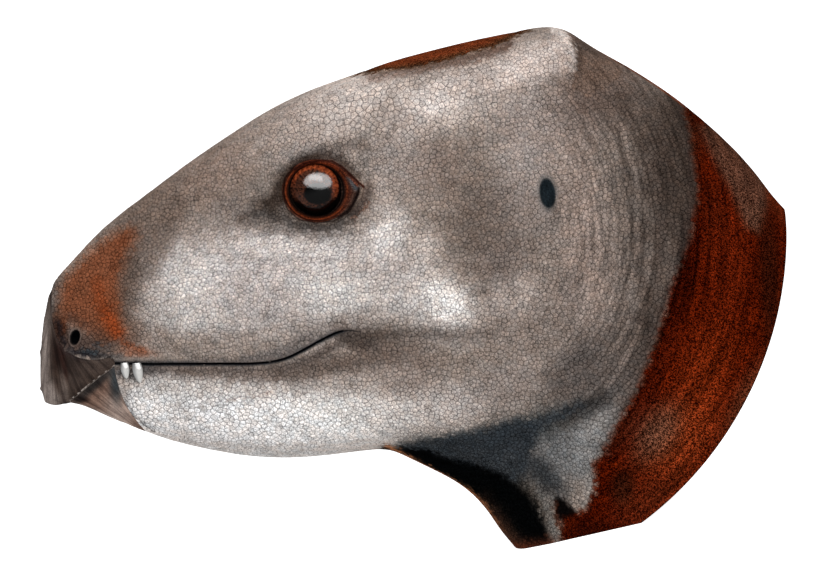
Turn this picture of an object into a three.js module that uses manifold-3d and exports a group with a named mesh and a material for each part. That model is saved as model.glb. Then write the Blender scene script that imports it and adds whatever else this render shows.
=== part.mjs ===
// The head and neck of a small beaked plant-eating dinosaur, as it looked in life.
// Millimetres. The head is drawn in a frame of its own: x runs back from the tip of the beak,
// y to the animal's right, and z up from the line where the lips meet.

import * as THREE from 'three';
import { mergeVertices } from 'three/addons/utils/BufferGeometryUtils.js';
import Module from 'manifold-3d';

// Driving dimensions
const neckEnd = 228;             // how far back the uncut neck is lofted
const halfSpan = 70;             // reach of a side-view cutter to each side of the middle
const gap = 0.3;                 // clearance between pieces that touch
const neckBaseFront = [141.6, -56.2];
const neckSweepCentre = [112.5, 40.2];
const neckSweepRadius = 110.9;
const neckSweepFrom = -50.2;     // degrees below level, where the sweep leaves the base
const neckSweepTo = 12;
const eyeCentre = [83.4, 53.0];
const eyeballRadius = 9.3;
const eyeballDepth = 6.0;        // middle of the eyeball below the skin
const eyeYaw = 6;                // degrees that the eyes look forward
const earCentre = [152.1, 54.0];
const nostrilCentre = [10.3, 7.6];

// The lines that the skin is lofted over, each from the beak to the neck.
// A point is its distance back, its half width and its height.
const crownLine = [
  [0, 0, 3.5], [1, 0, 11.5], [3, 0, 21.3], [6, 0, 26.4], [9, 0, 29.7], [15, 0, 36.1], [21, 0, 41.9],
  [33, 0, 51.1], [45, 0, 60], [57, 0, 68.1], [69, 0, 75.6], [81, 0, 81.3], [93, 0, 85.6],
  [105, 0, 89.9], [117, 0, 93.2], [129, 0, 96.1], [141, 0, 98.5], [152, 0, 100.3], [157, 0, 99.6],
  [165, 0, 94.6], [177, 0, 87.9], [189, 0, 80.1], [201, 0, 70.5], [213, 0, 58.5], [228, 0, 38],
];
const ridgeLine = [
  [0, 0.6, 2.6], [1, 1.4, 9.6], [3, 2.5, 19], [9, 4.2, 27.3], [21, 6.2, 39], [33, 8.2, 47.6],
  [45, 10.8, 56], [57, 14, 63.8], [69, 17.6, 71], [81, 21.2, 76.6], [93, 24, 80.4], [105, 25.8, 84],
  [117, 26.6, 87], [129, 26.4, 90.6], [141, 25, 94], [152, 22, 96.4], [158, 20.5, 95.4],
  [165, 19, 90], [177, 18, 83.4], [189, 18, 75.8], [201, 18, 66.2], [213, 18, 54], [228, 17, 33],
];
const templeLine = [
  [0, 1, 1], [3, 4, 13.5], [9, 6.4, 19.5], [21, 9.4, 28], [33, 12.6, 36], [45, 16, 43.5],
  [57, 19.6, 51], [69, 23.4, 58.5], [81, 26.6, 64.5], [93, 28.8, 67.5], [105, 30.4, 69.5],
  [117, 31.8, 71.5], [129, 32.8, 73.5], [141, 33, 75.5], [153, 32.4, 76], [165, 31.8, 70],
  [177, 32, 62], [189, 32.4, 53], [201, 32.4, 42], [213, 31.8, 30], [228, 30.4, 12],
];
const cheekLine = [
  [0, 1.2, -1], [3, 5, 5], [9, 7.9, 9], [21, 11.6, 13], [33, 15.4, 17], [45, 19.4, 21],
  [57, 23.2, 24], [69, 26.8, 26.5], [81, 30, 28], [93, 32.8, 27], [105, 35.6, 24.5],
  [117, 38, 22], [129, 39.4, 21], [141, 40, 21], [153, 40.8, 20], [165, 41.8, 16],
  [177, 42.4, 8], [189, 42.6, -3], [201, 42.4, -15], [213, 41.8, -27], [228, 40.4, -42],
];
const lipLine = [
  [0, 1.2, -4], [3, 5, -4], [9, 7.9, -2.4], [21, 11.2, 0], [33, 14.8, 0.9], [45, 18.3, 1],
  [57, 21.7, 1.3], [69, 25.1, 2], [81, 28.4, 4.6], [93, 31.4, 9.6], [105, 34.2, 7.5],
  [117, 36.3, 3.6], [129, 37.4, 0], [141, 38, -4], [153, 38.4, -10], [165, 39, -18],
  [177, 39.6, -28], [189, 40, -39], [201, 39.8, -51], [213, 39, -63], [228, 37.6, -78],
];
const jawLine = [
  [0, 1, -7], [3, 4, -10.8], [9, 6.4, -9.6], [21, 9.2, -11.6], [33, 12, -15], [45, 14.8, -17.6],
  [57, 17.4, -19.2], [69, 20, -20], [81, 22.6, -20], [93, 25, -19.6], [105, 27.4, -19.2],
  [117, 29, -19.6], [129, 29.4, -22], [141, 28.6, -27], [153, 28.6, -35], [165, 29.6, -47],
  [177, 30.6, -60], [189, 31, -72], [201, 30.8, -84], [213, 30, -96], [228, 28.6, -110],
];
const throatLine = [
  [0, 0.6, -8.2], [3, 2.2, -12.6], [9, 3.6, -11.6], [21, 5.2, -15.4], [33, 6.8, -20],
  [45, 8.6, -23], [57, 10.2, -25.4], [75, 12.6, -26.6], [93, 14.4, -25], [105, 14.4, -24.6],
  [114, 13.6, -28], [123, 13.6, -32.6], [132, 14.4, -39.5], [141, 16, -51], [153, 18.6, -66],
  [165, 20.6, -79], [189, 22, -101], [213, 22, -122], [228, 21, -134],
];
const keelLine = [
  [0, 0, -9], [1, 0, -12.3], [3, 0, -13.5], [6, 0, -13.3], [9, 0, -12.4], [15, 0, -14.4],
  [21, 0, -17.1], [27, 0, -19.5], [33, 0, -21.9], [39, 0, -24], [51, 0, -26.8], [63, 0, -28.7],
  [75, 0, -29.2], [87, 0, -28.3], [99, 0, -26.8], [105, 0, -26.5], [111, 0, -29.4],
  [117, 0, -32.3], [123, 0, -35.3], [129, 0, -39.2], [135, 0, -45.8], [141.6, 0, -56.7],
  [147, 0, -66], [153, 0, -76], [165, 0, -92], [189, 0, -116], [228, 0, -146],
];

// Places where flesh and bone stand out from that skin or sink below it: the middle of each
// as distance back and height, its reach back and up, and how far it swells sideways
const swellings = [
  { name: 'brow', at: [85, 67], reach: [15, 5], by: 2.4 },
  { name: 'trough before the eye', at: [65, 50], reach: [10, 6], by: -2.0 },
  { name: 'trough under the eye', at: [84, 38], reach: [14, 4], by: -1.2 },
  { name: 'snout side', at: [56, 20], reach: [22, 9], by: 1.4 },
  { name: 'bar behind the eye', at: [104, 46], reach: [6, 14], by: 1.4 },
  { name: 'cheek boss', at: [121, 20], reach: [11, 7], by: 2.6 },
  { name: 'upper temple', at: [121, 62], reach: [13, 8], by: -2.4 },
  { name: 'lower temple', at: [138, 38], reach: [10, 13], by: -4.2 },
  { name: 'roof ridge', at: [127, 87], reach: [28, 5], by: 1.4 },
  { name: 'frill corner', at: [154, 88], reach: [6.5, 8], by: 3.2 },
  { name: 'nape behind the frill', at: [167, 86], reach: [5, 14], by: -3.0 },
  { name: 'jaw muscle', at: [112, -6], reach: [15, 9], by: 1.8 },
  { name: 'hollow under the jaw', at: [134, -33], reach: [20, 8], by: -6.0 },
  { name: 'neck muscle', at: [163, -20], reach: [7, 26], by: 1.6 },
];

// The lines from the top of the head to its underside, and the faces between each two of them
const sectionLines = [crownLine, ridgeLine, templeLine, cheekLine, lipLine, jawLine, throatLine, keelLine];
const facesBetweenLines = [2, 3, 4, 3, 3, 2, 2];

const smooth = (line) => new THREE.CubicInterpolant(
  line.map((point) => point[0]), line.flatMap((point) => [point[1], point[2]]), 2);
const smoothLines = sectionLines.map(smooth);

const bump = (distance) => Math.exp(-distance * distance);
const swell = (x, z) => swellings.reduce((sum, { at, reach, by }) =>
  sum + by * bump((x - at[0]) / reach[0]) * bump((z - at[1]) / reach[1]), 0);

// The points of the right half of the skin, from the crown to the keel, at one distance back
function halfSection(x, finer = 1) {
  const corners = smoothLines.map((line) => {
    const [halfWidth, height] = line.evaluate(x);
    return new THREE.Vector3(x, halfWidth, height);
  });
  const otherSide = corners.slice(1, -1).reverse().map((p) => new THREE.Vector3(x, -p.y, p.z));
  const ring = new THREE.CatmullRomCurve3([...corners, ...otherSide], true, 'centripetal');
  const widest = Math.max(...corners.map((corner) => corner.y));
  const points = [];
  facesBetweenLines.forEach((count, line) => {
    for (let step = 0; step < count * finer; step += 1) {
      points.push(ring.getPoint((line + step / (count * finer)) / ring.points.length));
    }
  });
  points.push(corners.at(-1));
  points.forEach((point) => { point.y += (point.y / widest) * swell(x, point.z); });
  return points;
}

// Half width of the skin at one distance back and one height
function skinHalfWidth(x, z) {
  const points = halfSection(x, 4);
  for (let i = 1; i < points.length; i += 1) {
    const [upper, lower] = [points[i - 1], points[i]];
    if (upper.z >= z && lower.z <= z) {
      return THREE.MathUtils.mapLinear(z, upper.z, lower.z, upper.y, lower.y);
    }
  }
  throw new Error(`no skin at ${x}, ${z}`);
}

// Distances back at which the skin has a ring of points: close at the beak, wider on the neck
const beakStations = [0, 1, 2.2, 4, 6.2, 8.8];
const stationSteps = [
  { upTo: 100, step: 3.6 },
  { upTo: 170, step: 4 },
  { upTo: neckEnd - 6, step: 5.5 },
];

function stations() {
  const list = [...beakStations];
  stationSteps.forEach(({ upTo, step }) => {
    while (list.at(-1) < upTo) list.push(list.at(-1) + step);
  });
  return [...list, neckEnd];
}

function loftedSkin() {
  const rings = stations().map((x) => {
    const half = halfSection(x);
    const other = half.slice(1, -1).reverse().map((p) => new THREE.Vector3(p.x, -p.y, p.z));
    return [...half, ...other];
  });
  const perRing = rings[0].length;
  const points = rings.flat();
  const faces = [];
  for (let ring = 0; ring + 1 < rings.length; ring += 1) {
    for (let i = 0; i < perRing; i += 1) {
      const [a, b] = [ring * perRing + i, ring * perRing + ((i + 1) % perRing)];
      faces.push(a, a + perRing, b, b, a + perRing, b + perRing);
    }
  }
  [0, rings.length - 1].forEach((ring) => {
    const middle = rings[ring].reduce((sum, p) => sum.add(p), new THREE.Vector3());
    points.push(middle.divideScalar(perRing));
    for (let i = 0; i < perRing; i += 1) {
      const [a, b] = [ring * perRing + i, ring * perRing + ((i + 1) % perRing)];
      faces.push(...(ring === 0 ? [a, b, points.length - 1] : [b, a, points.length - 1]));
    }
  });
  const geometry = new THREE.BufferGeometry().setFromPoints(points);
  geometry.setIndex(faces);
  return geometry;
}

// Joining and cutting
const wasm = await Module();
wasm.setup();
const sharedPoint = 1e-4;        // points closer than this are one

function solid(geometry) {
  const bare = geometry.clone();
  ['normal', 'uv'].forEach((name) => bare.deleteAttribute(name));
  const merged = mergeVertices(bare, sharedPoint);
  const made = new wasm.Manifold(new wasm.Mesh({
    numProp: 3,
    vertProperties: new Float32Array(merged.attributes.position.array),
    triVerts: new Uint32Array(merged.index.array),
  }));
  if (made.volume() <= 0) throw new Error('a solid is inside out');
  return made;
}

function surface(manifold) {
  const mesh = manifold.getMesh();
  const geometry = new THREE.BufferGeometry();
  geometry.setAttribute('position', new THREE.BufferAttribute(mesh.vertProperties, 3));
  geometry.setIndex(new THREE.BufferAttribute(mesh.triVerts, 1));
  geometry.computeVertexNormals();
  return geometry;
}

// A side-view outline, drawn as x and z, carried across the head from one y to another
function acrossHead(shape, fromY, toY, curveSegments = 12) {
  const geometry = new THREE.ExtrudeGeometry(shape, { depth: toY - fromY, bevelEnabled: false, curveSegments });
  geometry.rotateX(Math.PI / 2);
  geometry.translate(0, toY, 0);
  return geometry;
}

// The same piece on the left side, with its faces turned to point out again
function mirrored(geometry) {
  const other = geometry.clone();
  other.scale(1, -1, 1);
  const count = other.attributes.position.count;
  const order = other.index?.array ?? Array.from({ length: count }, (_, i) => i);
  const flipped = [];
  for (let i = 0; i < order.length; i += 3) flipped.push(order[i], order[i + 2], order[i + 1]);
  other.setIndex(flipped);
  return other;
}

// The neck ends in a flat base to stand on and in a round sweep behind it
const { degToRad } = THREE.MathUtils;
const neckBaseBack = [
  neckSweepCentre[0] + neckSweepRadius * Math.cos(degToRad(neckSweepFrom)),
  neckSweepCentre[1] + neckSweepRadius * Math.sin(degToRad(neckSweepFrom)),
];
const neckBaseSlope = (neckBaseBack[1] - neckBaseFront[1]) / (neckBaseBack[0] - neckBaseFront[0]);

function keptOutline() {
  const front = -12;
  const top = 112;
  const shape = new THREE.Shape();
  shape.moveTo(front, neckBaseFront[1] + neckBaseSlope * (front - neckBaseFront[0]));
  shape.lineTo(...neckBaseBack);
  shape.absarc(...neckSweepCentre, neckSweepRadius, degToRad(neckSweepFrom), degToRad(neckSweepTo), false);
  shape.lineTo(neckEnd, top);
  shape.lineTo(front, top);
  return shape;
}

// Horn sheath of the upper jaw, in side view: its back edge runs down the front of the snout,
// under the nostril and back to the corner of the lips, its lower edge is the cutting rim
function upperBeakOutline(room) {
  const shape = new THREE.Shape();
  shape.moveTo(-5, 24);
  shape.lineTo(3.4 + room, 24);
  shape.lineTo(3.6 + room, 14);
  shape.quadraticCurveTo(4.2 + room, 6, 9.2, 2.6 + room);
  shape.quadraticCurveTo(15, -0.6 + room, 22.4 + room, 2.0 + room);
  shape.lineTo(22.8 + room, -0.6 - room);
  shape.quadraticCurveTo(16, -5.6 - room, 9.4, -11.6 - room);
  shape.lineTo(8.8, -16);
  shape.lineTo(-5, -16);
  return shape;
}

// Horn sheath of the lower jaw, in side view, under that rim
function lowerBeakOutline(room) {
  const shape = new THREE.Shape();
  shape.moveTo(9.4 - room, -11.9 + room);
  shape.quadraticCurveTo(16, -5.9 + room, 22.6 + room, -1.1 + room);
  shape.quadraticCurveTo(23.6 + room, -9, 27.6 + room, -15.4);
  shape.lineTo(33.2 + room, -23.4);
  shape.lineTo(9.4 - room, -23.4);
  return shape;
}

// The slit between the lips, with the lower lip set back under the upper one
function lipSlit() {
  const path = [
    [30.4, 0.1], [38, 0.9], [47, 1.1], [56, 1.2], [64, 1.5], [71, 2.2], [77, 3.7], [83, 6.4],
    [88, 9.1], [93, 11.2],
  ];
  const wedge = [[2.5, 0.35], [-2.6, 0.1], [-1.3, -1.5], [-0.9, -3], [2.5, -6.6]];
  const points = [];
  const faces = [];
  path.forEach(([x, z], i) => {
    const fade = Math.min(1, (path.length - 0.9 - i) / 3);
    const side = skinHalfWidth(x, z);
    wedge.forEach(([out, up]) => points.push(
      new THREE.Vector3(x, side + (out > 0 ? out : out * fade), z + up * (out > 0 ? 1 : fade))));
  });
  const n = wedge.length;
  for (let ring = 0; ring + 1 < path.length; ring += 1) {
    for (let i = 0; i < n; i += 1) {
      const [a, b] = [ring * n + i, ring * n + ((i + 1) % n)];
      faces.push(a, b, a + n, b, b + n, a + n);
    }
  }
  for (let i = 1; i + 1 < n; i += 1) {
    const last = (path.length - 1) * n;
    faces.push(0, i + 1, i, last, last + i, last + i + 1);
  }
  const geometry = new THREE.BufferGeometry().setFromPoints(points);
  geometry.setIndex(faces);
  return geometry;
}

// A ball, stretched or not, at a place on the right side of the head
function ball([alongX, alongY, alongZ], [x, z], y, around, up) {
  const geometry = new THREE.SphereGeometry(1, around, up);
  geometry.scale(alongX, alongY, alongZ);
  geometry.translate(x, y, z);
  return geometry;
}

const eyeY = skinHalfWidth(...eyeCentre) - eyeballDepth;
const eyeball = (radius) => ball([radius, radius, radius], eyeCentre, eyeY, 20, 12);

// The lids are one rolled rim round the eye: radius from its axis, distance out from its middle
const lidProfile = [
  [6.9, 2], [13, 2], [12.2, 5.4], [10.6, 6.6], [9.4, 7], [8.4, 7.5], [7.5, 7.3], [6.9, 6.4], [6.9, 2],
];

function lids() {
  const geometry = new THREE.LatheGeometry(lidProfile.map(([r, h]) => new THREE.Vector2(r, h)), 24);
  geometry.rotateZ(degToRad(eyeYaw));
  geometry.translate(eyeCentre[0], eyeY, eyeCentre[1]);
  return geometry;
}

// Two pointed teeth hang from the front of the upper jaw on each side; lean is in degrees
const teeth = [
  { name: 'front_tooth', at: [25.4, -0.4], length: 4.4, radius: 1.45, lean: 4 },
  { name: 'rear_tooth', at: [29.0, -0.4], length: 5.6, radius: 1.75, lean: -8 },
];
const toothRoot = 2.2;
const toothFlatness = 0.72;      // thickness from side to side, against the width
const toothInset = 1.5;          // middle of the tooth inside the lip

function tooth({ at, length, radius, lean }, room) {
  const profile = [
    [0, toothRoot + room], [radius * 0.7 + room, toothRoot + room], [radius + room, 0],
    [radius * 0.94 + room, -length * 0.4], [radius * 0.55 + room, -length * 0.8], [0, -length - room],
  ].reverse();
  const geometry = new THREE.LatheGeometry(profile.map(([r, h]) => new THREE.Vector2(r, h)), 14);
  geometry.scale(1, 1, toothFlatness);
  geometry.rotateX(Math.PI / 2);
  geometry.rotateY(degToRad(lean));
  geometry.translate(at[0], skinHalfWidth(...at) - toothInset, at[1]);
  return geometry;
}

// The gap in the lips that the teeth stand in
function toothGap() {
  const shape = new THREE.Shape();
  shape.moveTo(23.4, 0.6);
  shape.lineTo(31.6, 0.6);
  shape.lineTo(31.8, -3.6);
  shape.quadraticCurveTo(31, -7.4, 28, -7);
  shape.lineTo(23.4, -6);
  return acrossHead(shape, 9.8, 22, 4);
}

const both = (geometry) => [solid(geometry), solid(mirrored(geometry))];

const whole = solid(loftedSkin()).intersect(solid(acrossHead(keptOutline(), -halfSpan, halfSpan, 40)));
const beakSolid = (outline) => solid(acrossHead(outline, -halfSpan, halfSpan, 8));

const hollows = [
  eyeball(eyeballRadius + gap),
  ball([2.1, 4.2, 4.1], earCentre, skinHalfWidth(...earCentre), 14, 10),
  ball([1.5, 2.6, 2.2], nostrilCentre, skinHalfWidth(...nostrilCentre), 12, 8),
  lipSlit(),
  toothGap(),
  ...teeth.map((one) => tooth(one, gap)),
];
let head = whole
  .subtract(beakSolid(upperBeakOutline(gap)))
  .subtract(beakSolid(lowerBeakOutline(gap)));
both(lids()).forEach((rim) => { head = head.add(rim); });
hollows.flatMap(both).forEach((hollow) => { head = head.subtract(hollow); });

// Finishes
const finish = (color, roughness) => new THREE.MeshStandardMaterial({ color, roughness, metalness: 0 });
const skin = finish(0xa39487, 0.75);
const horn = finish(0x4a3d36, 0.5);
const eyeGloss = finish(0x3a1a0c, 0.08);
const enamel = finish(0xe9e6df, 0.3);

const object = new THREE.Group();
const place = (name, geometry, material) => {
  const mesh = new THREE.Mesh(geometry, material);
  mesh.name = name;
  object.add(mesh);
};
place('head', surface(head), skin);
place('upper_beak', surface(whole.intersect(beakSolid(upperBeakOutline(0)))), horn);
place('lower_beak', surface(whole.intersect(beakSolid(lowerBeakOutline(0)))), horn);
place('right_eyeball', eyeball(eyeballRadius), eyeGloss);
place('left_eyeball', mirrored(eyeball(eyeballRadius)), eyeGloss);
teeth.forEach((one) => {
  place(`right_${one.name}`, tooth(one, 0), enamel);
  place(`left_${one.name}`, mirrored(tooth(one, 0)), enamel);
});

// Stand the head on its neck base, with the origin under its middle
object.rotation.y = Math.atan(neckBaseSlope);
object.updateMatrixWorld(true);
const box = new THREE.Box3().setFromObject(object, true);
object.position.set(-(box.min.x + box.max.x) / 2, -(box.min.y + box.max.y) / 2, -box.min.z);

export default object;
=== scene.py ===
# Head and neck of a small beaked plant-eating dinosaur as it looked in life: scaly skin, horn beaks,
# a wet eye in wrinkled lids and two small teeth on each side, standing on the cut end of its neck.
from math import atan2, cos, pi, radians, sin

import bpy
import numpy as np
from mathutils import Matrix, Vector
from mathutils.bvhtree import BVHTree
from mathutils.kdtree import KDTree


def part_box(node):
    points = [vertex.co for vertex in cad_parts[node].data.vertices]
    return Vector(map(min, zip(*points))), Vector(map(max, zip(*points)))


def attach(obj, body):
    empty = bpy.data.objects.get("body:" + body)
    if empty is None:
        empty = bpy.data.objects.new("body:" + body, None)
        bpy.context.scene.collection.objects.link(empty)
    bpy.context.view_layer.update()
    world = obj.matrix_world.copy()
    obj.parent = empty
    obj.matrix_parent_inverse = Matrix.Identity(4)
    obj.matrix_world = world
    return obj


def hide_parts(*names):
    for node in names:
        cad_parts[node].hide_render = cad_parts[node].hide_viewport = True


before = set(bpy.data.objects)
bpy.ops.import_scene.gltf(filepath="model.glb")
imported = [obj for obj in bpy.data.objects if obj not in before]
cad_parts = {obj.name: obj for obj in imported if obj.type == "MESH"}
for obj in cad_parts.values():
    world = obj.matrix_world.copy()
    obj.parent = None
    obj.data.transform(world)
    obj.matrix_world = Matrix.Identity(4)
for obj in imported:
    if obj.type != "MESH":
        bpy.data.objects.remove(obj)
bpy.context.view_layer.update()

# The head is measured in a frame of its own, in millimetres: x back from the tip of the beak, y to
# the animal's right, z up from the lips. In side view the neck ends in a straight cut and a round
# one, and the head is pitched nose up until it stands on the straight cut.
neck_base_front = np.array([141.6, -56.2])
sweep_centre = np.array([112.5, 40.2])
sweep_radius = 110.9
sweep_from = radians(-50.2)
neck_base_back = sweep_centre + sweep_radius * np.array([cos(sweep_from), sin(sweep_from)])
base_run = neck_base_back - neck_base_front
pitch = atan2(base_run[1], base_run[0])
turned = np.array([[cos(pitch), 0, sin(pitch)], [0, 1, 0], [-sin(pitch), 0, cos(pitch)]])
eye_at = (83.4, 53.0)
eye_low, eye_high = (np.array(corner) * 1000 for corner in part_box("right_eyeball"))
eye_middle = (eye_low + eye_high) / 2
origin = eye_middle - turned @ np.array([eye_at[0], eye_middle[1], eye_at[1]])


def to_world(points):
    return (np.asarray(points) @ turned.T + origin) / 1000


def to_head(points):
    return (np.asarray(points) * 1000 - origin) @ turned


# The studio: a long lens square to the left side of the head and a little above it, turned with its
# pitch. The paper under and round the head glows white in a dim room. One soft light stands above
# and in front, and a wide oval one is seen in gloss alone, as the highlight of the eyes.
photo_width = 828
photo_middle = (112.2, 21.0)     # the head's x and z at the middle of the photo
pixel = 0.3                      # millimetres that a pixel of the photo covers
lens = 400
sensor = 36
elevation = radians(3)
distance = photo_width * pixel * lens / sensor


def looking(place, towards_viewer, up):
    right = np.cross(up, towards_viewer)
    axes = [turned @ (axis / np.linalg.norm(axis)) for axis in (right, up, towards_viewer)]
    matrix = Matrix([[axes[0][row], axes[1][row], axes[2][row], 0] for row in range(3)] + [[0, 0, 0, 1]])
    matrix.translation = to_world(place)
    return matrix


camera = bpy.data.objects.new("camera", bpy.data.cameras.new("camera"))
camera.data.lens = lens
camera.data.sensor_width = sensor
camera.data.clip_end = 50
towards_camera = np.array([0, -cos(elevation), sin(elevation)])
picture_up = np.array([0, sin(elevation), cos(elevation)])
middle = np.array([photo_middle[0], 0, photo_middle[1]])
camera.matrix_world = looking(middle + towards_camera * distance, towards_camera, picture_up)
bpy.context.scene.collection.objects.link(camera)
bpy.context.scene.camera = camera
bpy.context.scene.view_settings.view_transform = "Standard"

room_in_gloss = 0.02             # what mirrors and gloss see of the room
room_glow = 1.4                  # what the room adds to the picture, behind the head
room_light = 0.5                 # what the room adds as light on the head
paper_light = 0.9                # what the lit paper under the head adds as light on it
paper_glow = 0.95                # what the lit paper adds to the picture
world = bpy.data.worlds.new("studio")
world.use_nodes = True
surroundings = world.node_tree.nodes["Background"]
surroundings.inputs["Color"].default_value = (1, 1, 1, 1)
seen = world.node_tree.nodes.new("ShaderNodeLightPath")


def brightness(tree, rays, when_seen, when_lighting, otherwise):
    """A strength that is one thing to the picture, another to plain surfaces and another to gloss."""
    last = otherwise
    for ray, added in (("Is Camera Ray", when_seen), ("Is Diffuse Ray", when_lighting)):
        step = tree.nodes.new("ShaderNodeMath")
        step.operation = "MULTIPLY_ADD"
        step.inputs[1].default_value = added
        tree.links.new(rays.outputs[ray], step.inputs[0])
        if isinstance(last, float):
            step.inputs[2].default_value = last
        else:
            tree.links.new(last, step.inputs[2])
        last = step.outputs[0]
    return last


world.node_tree.links.new(brightness(world.node_tree, seen, room_glow, room_light, room_in_gloss),
                          surroundings.inputs["Strength"])
bpy.context.scene.world = world


def panel(name, shape, width, height, energy, bearing, rise, away):
    """A soft light that faces the middle of the head."""
    light = bpy.data.objects.new(name, bpy.data.lights.new(name, "AREA"))
    light.data.shape = shape
    light.data.size = width
    light.data.size_y = height
    light.data.energy = energy
    towards = np.array([sin(bearing) * cos(rise), -cos(bearing) * cos(rise), sin(rise)])
    light.matrix_world = looking(middle + towards * away, towards, (0, 0, 1.0))
    bpy.context.scene.collection.objects.link(light)
    return light


panel("key_light", "RECTANGLE", 0.7, 0.34, 4.4, bearing=radians(-8), rise=radians(44), away=800)
highlight = panel("eye_highlight", "ELLIPSE", 2.2, 1.0, 46, bearing=radians(4), rise=radians(38), away=820)
highlight.visible_diffuse = False


def colours_of(sockets):
    return [socket for socket in sockets if socket.type == "RGBA"]


floor_reach = 12
floor_corners = [(x * floor_reach, y * floor_reach, 0) for x, y in ((-1, -1), (1, -1), (1, 1), (-1, 1))]
floor_mesh = bpy.data.meshes.new("floor")
floor_mesh.from_pydata(floor_corners, [], [(0, 1, 2, 3)])
floor = bpy.data.objects.new("floor", floor_mesh)
paper = bpy.data.materials.new("lit_paper")
paper.use_nodes = True
paper_nodes = paper.node_tree.nodes
join_paper = paper.node_tree.links.new
paper_seen = paper_nodes.new("ShaderNodeLightPath")
paper_tone = paper_nodes.new("ShaderNodeMix")
paper_tone.data_type = "RGBA"
grey_for_light, pale_for_picture = colours_of(paper_tone.inputs)
grey_for_light.default_value = (0.2, 0.2, 0.2, 1)
pale_for_picture.default_value = (0.8, 0.8, 0.8, 1)
paper_surface = paper_nodes["Principled BSDF"]
join_paper(paper_seen.outputs["Is Camera Ray"], paper_tone.inputs["Factor"])
join_paper(colours_of(paper_tone.outputs)[0], paper_surface.inputs["Base Color"])
join_paper(brightness(paper.node_tree, paper_seen, paper_glow, paper_light, room_in_gloss),
           paper_surface.inputs["Emission Strength"])
paper_surface.inputs["Emission Color"].default_value = (1, 1, 1, 1)
paper_surface.inputs["Roughness"].default_value = 1.0
paper_surface.inputs["Specular IOR Level"].default_value = 0.0
floor_mesh.materials.append(paper)
bpy.context.scene.collection.objects.link(floor)


# The flesh: head, beaks and eyeballs joined in one smooth form, which every piece of skin, horn and
# lid is then laid on. It runs on past the neck's two cuts, so that the cuts can be made clean.
flesh_grain = 1.4                # size of the form's faces
past_the_cut = 6.0
neck_slope = radians(39)
neck_leads = np.array([cos(neck_slope), 0, -sin(neck_slope)])
on_a_cut = 0.05                  # how near to a cut a corner of the solids counts as on it
smoothing_rounds = 9
beak_smoothing, skin_smoothing = 0.15, 0.5
beak_to_skin = (4, 28)           # the smoothing grows between these distances from the tip
frill_corner = (157, 98)         # which stays crisp
frill_reach, frill_crispness = 9, 0.8
side_drop, foot_drop = 0.011, 0.044    # of the round cut, for each millimetre off its middle
base_normal = np.array([sin(pitch), 0, -cos(pitch)])


def base_room(points):
    """How far a point is above the straight cut."""
    return -(points - [neck_base_front[0], 0, neck_base_front[1]]) @ base_normal


def sweep_drop(angle, y):
    """How much the round cut is drawn in towards its two sides, more so at the foot of the neck."""
    return np.abs(y) * (side_drop + foot_drop * np.clip(-np.sin(angle), 0, 1))


def sweep_room(points, domed=True):
    """How far a point is inside the round cut."""
    behind, up = np.maximum(points[:, 0] - sweep_centre[0], 0), points[:, 2] - sweep_centre[1]
    drop = sweep_drop(np.arctan2(up, behind), points[:, 1]) if domed else 0
    return sweep_radius - drop - np.hypot(behind, up)


def listed(things, field, width, kind=float):
    """One field of a mesh's points, edges or faces, a row for each of them."""
    values = np.empty(len(things) * width, dtype=kind)
    things.foreach_get(field, values)
    return values.reshape(-1, width)


def read_mesh(mesh):
    mesh.calc_loop_triangles()
    return listed(mesh.vertices, "co", 3), listed(mesh.loop_triangles, "vertices", 3, int)


def new_mesh(name, points, faces):
    mesh = bpy.data.meshes.new(name)
    mesh.vertices.add(len(points))
    mesh.vertices.foreach_set("co", np.asarray(points, dtype=float).ravel())
    mesh.loops.add(faces.size)
    mesh.loops.foreach_set("vertex_index", faces.ravel())
    mesh.polygons.add(len(faces))
    mesh.polygons.foreach_set("loop_start", np.arange(0, faces.size, faces.shape[1]))
    mesh.update(calc_edges=True)
    return mesh


def normals_of(points, faces):
    """The ways out of a form at its points."""
    mesh = new_mesh("form", points, faces)
    normals = listed(mesh.vertex_normals, "vector", 3)
    bpy.data.meshes.remove(mesh)
    return normals


def modified(mesh, kind, **settings):
    """The mesh after one modifier."""
    holder = bpy.data.objects.new("holder", mesh)
    bpy.context.scene.collection.objects.link(holder)
    modifier = holder.modifiers.new(kind.lower(), kind)
    for name, value in settings.items():
        setattr(modifier, name, value)
    result = bpy.data.meshes.new_from_object(holder.evaluated_get(bpy.context.evaluated_depsgraph_get()))
    bpy.data.objects.remove(holder)
    bpy.data.meshes.remove(mesh)
    return result


def spread_smooth(points, edges, rounds, share):
    """Each point moves its share of the way to the middle of its neighbours, some rounds over."""
    count = np.bincount(edges.ravel(), minlength=len(points))[:, None]
    for _ in range(rounds):
        total = np.stack([
            np.bincount(edges[:, 0], points[edges[:, 1], axis], len(points))
            + np.bincount(edges[:, 1], points[edges[:, 0], axis], len(points)) for axis in range(3)], axis=1)
        points = points + share * (total / count - points)
    return points


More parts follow.
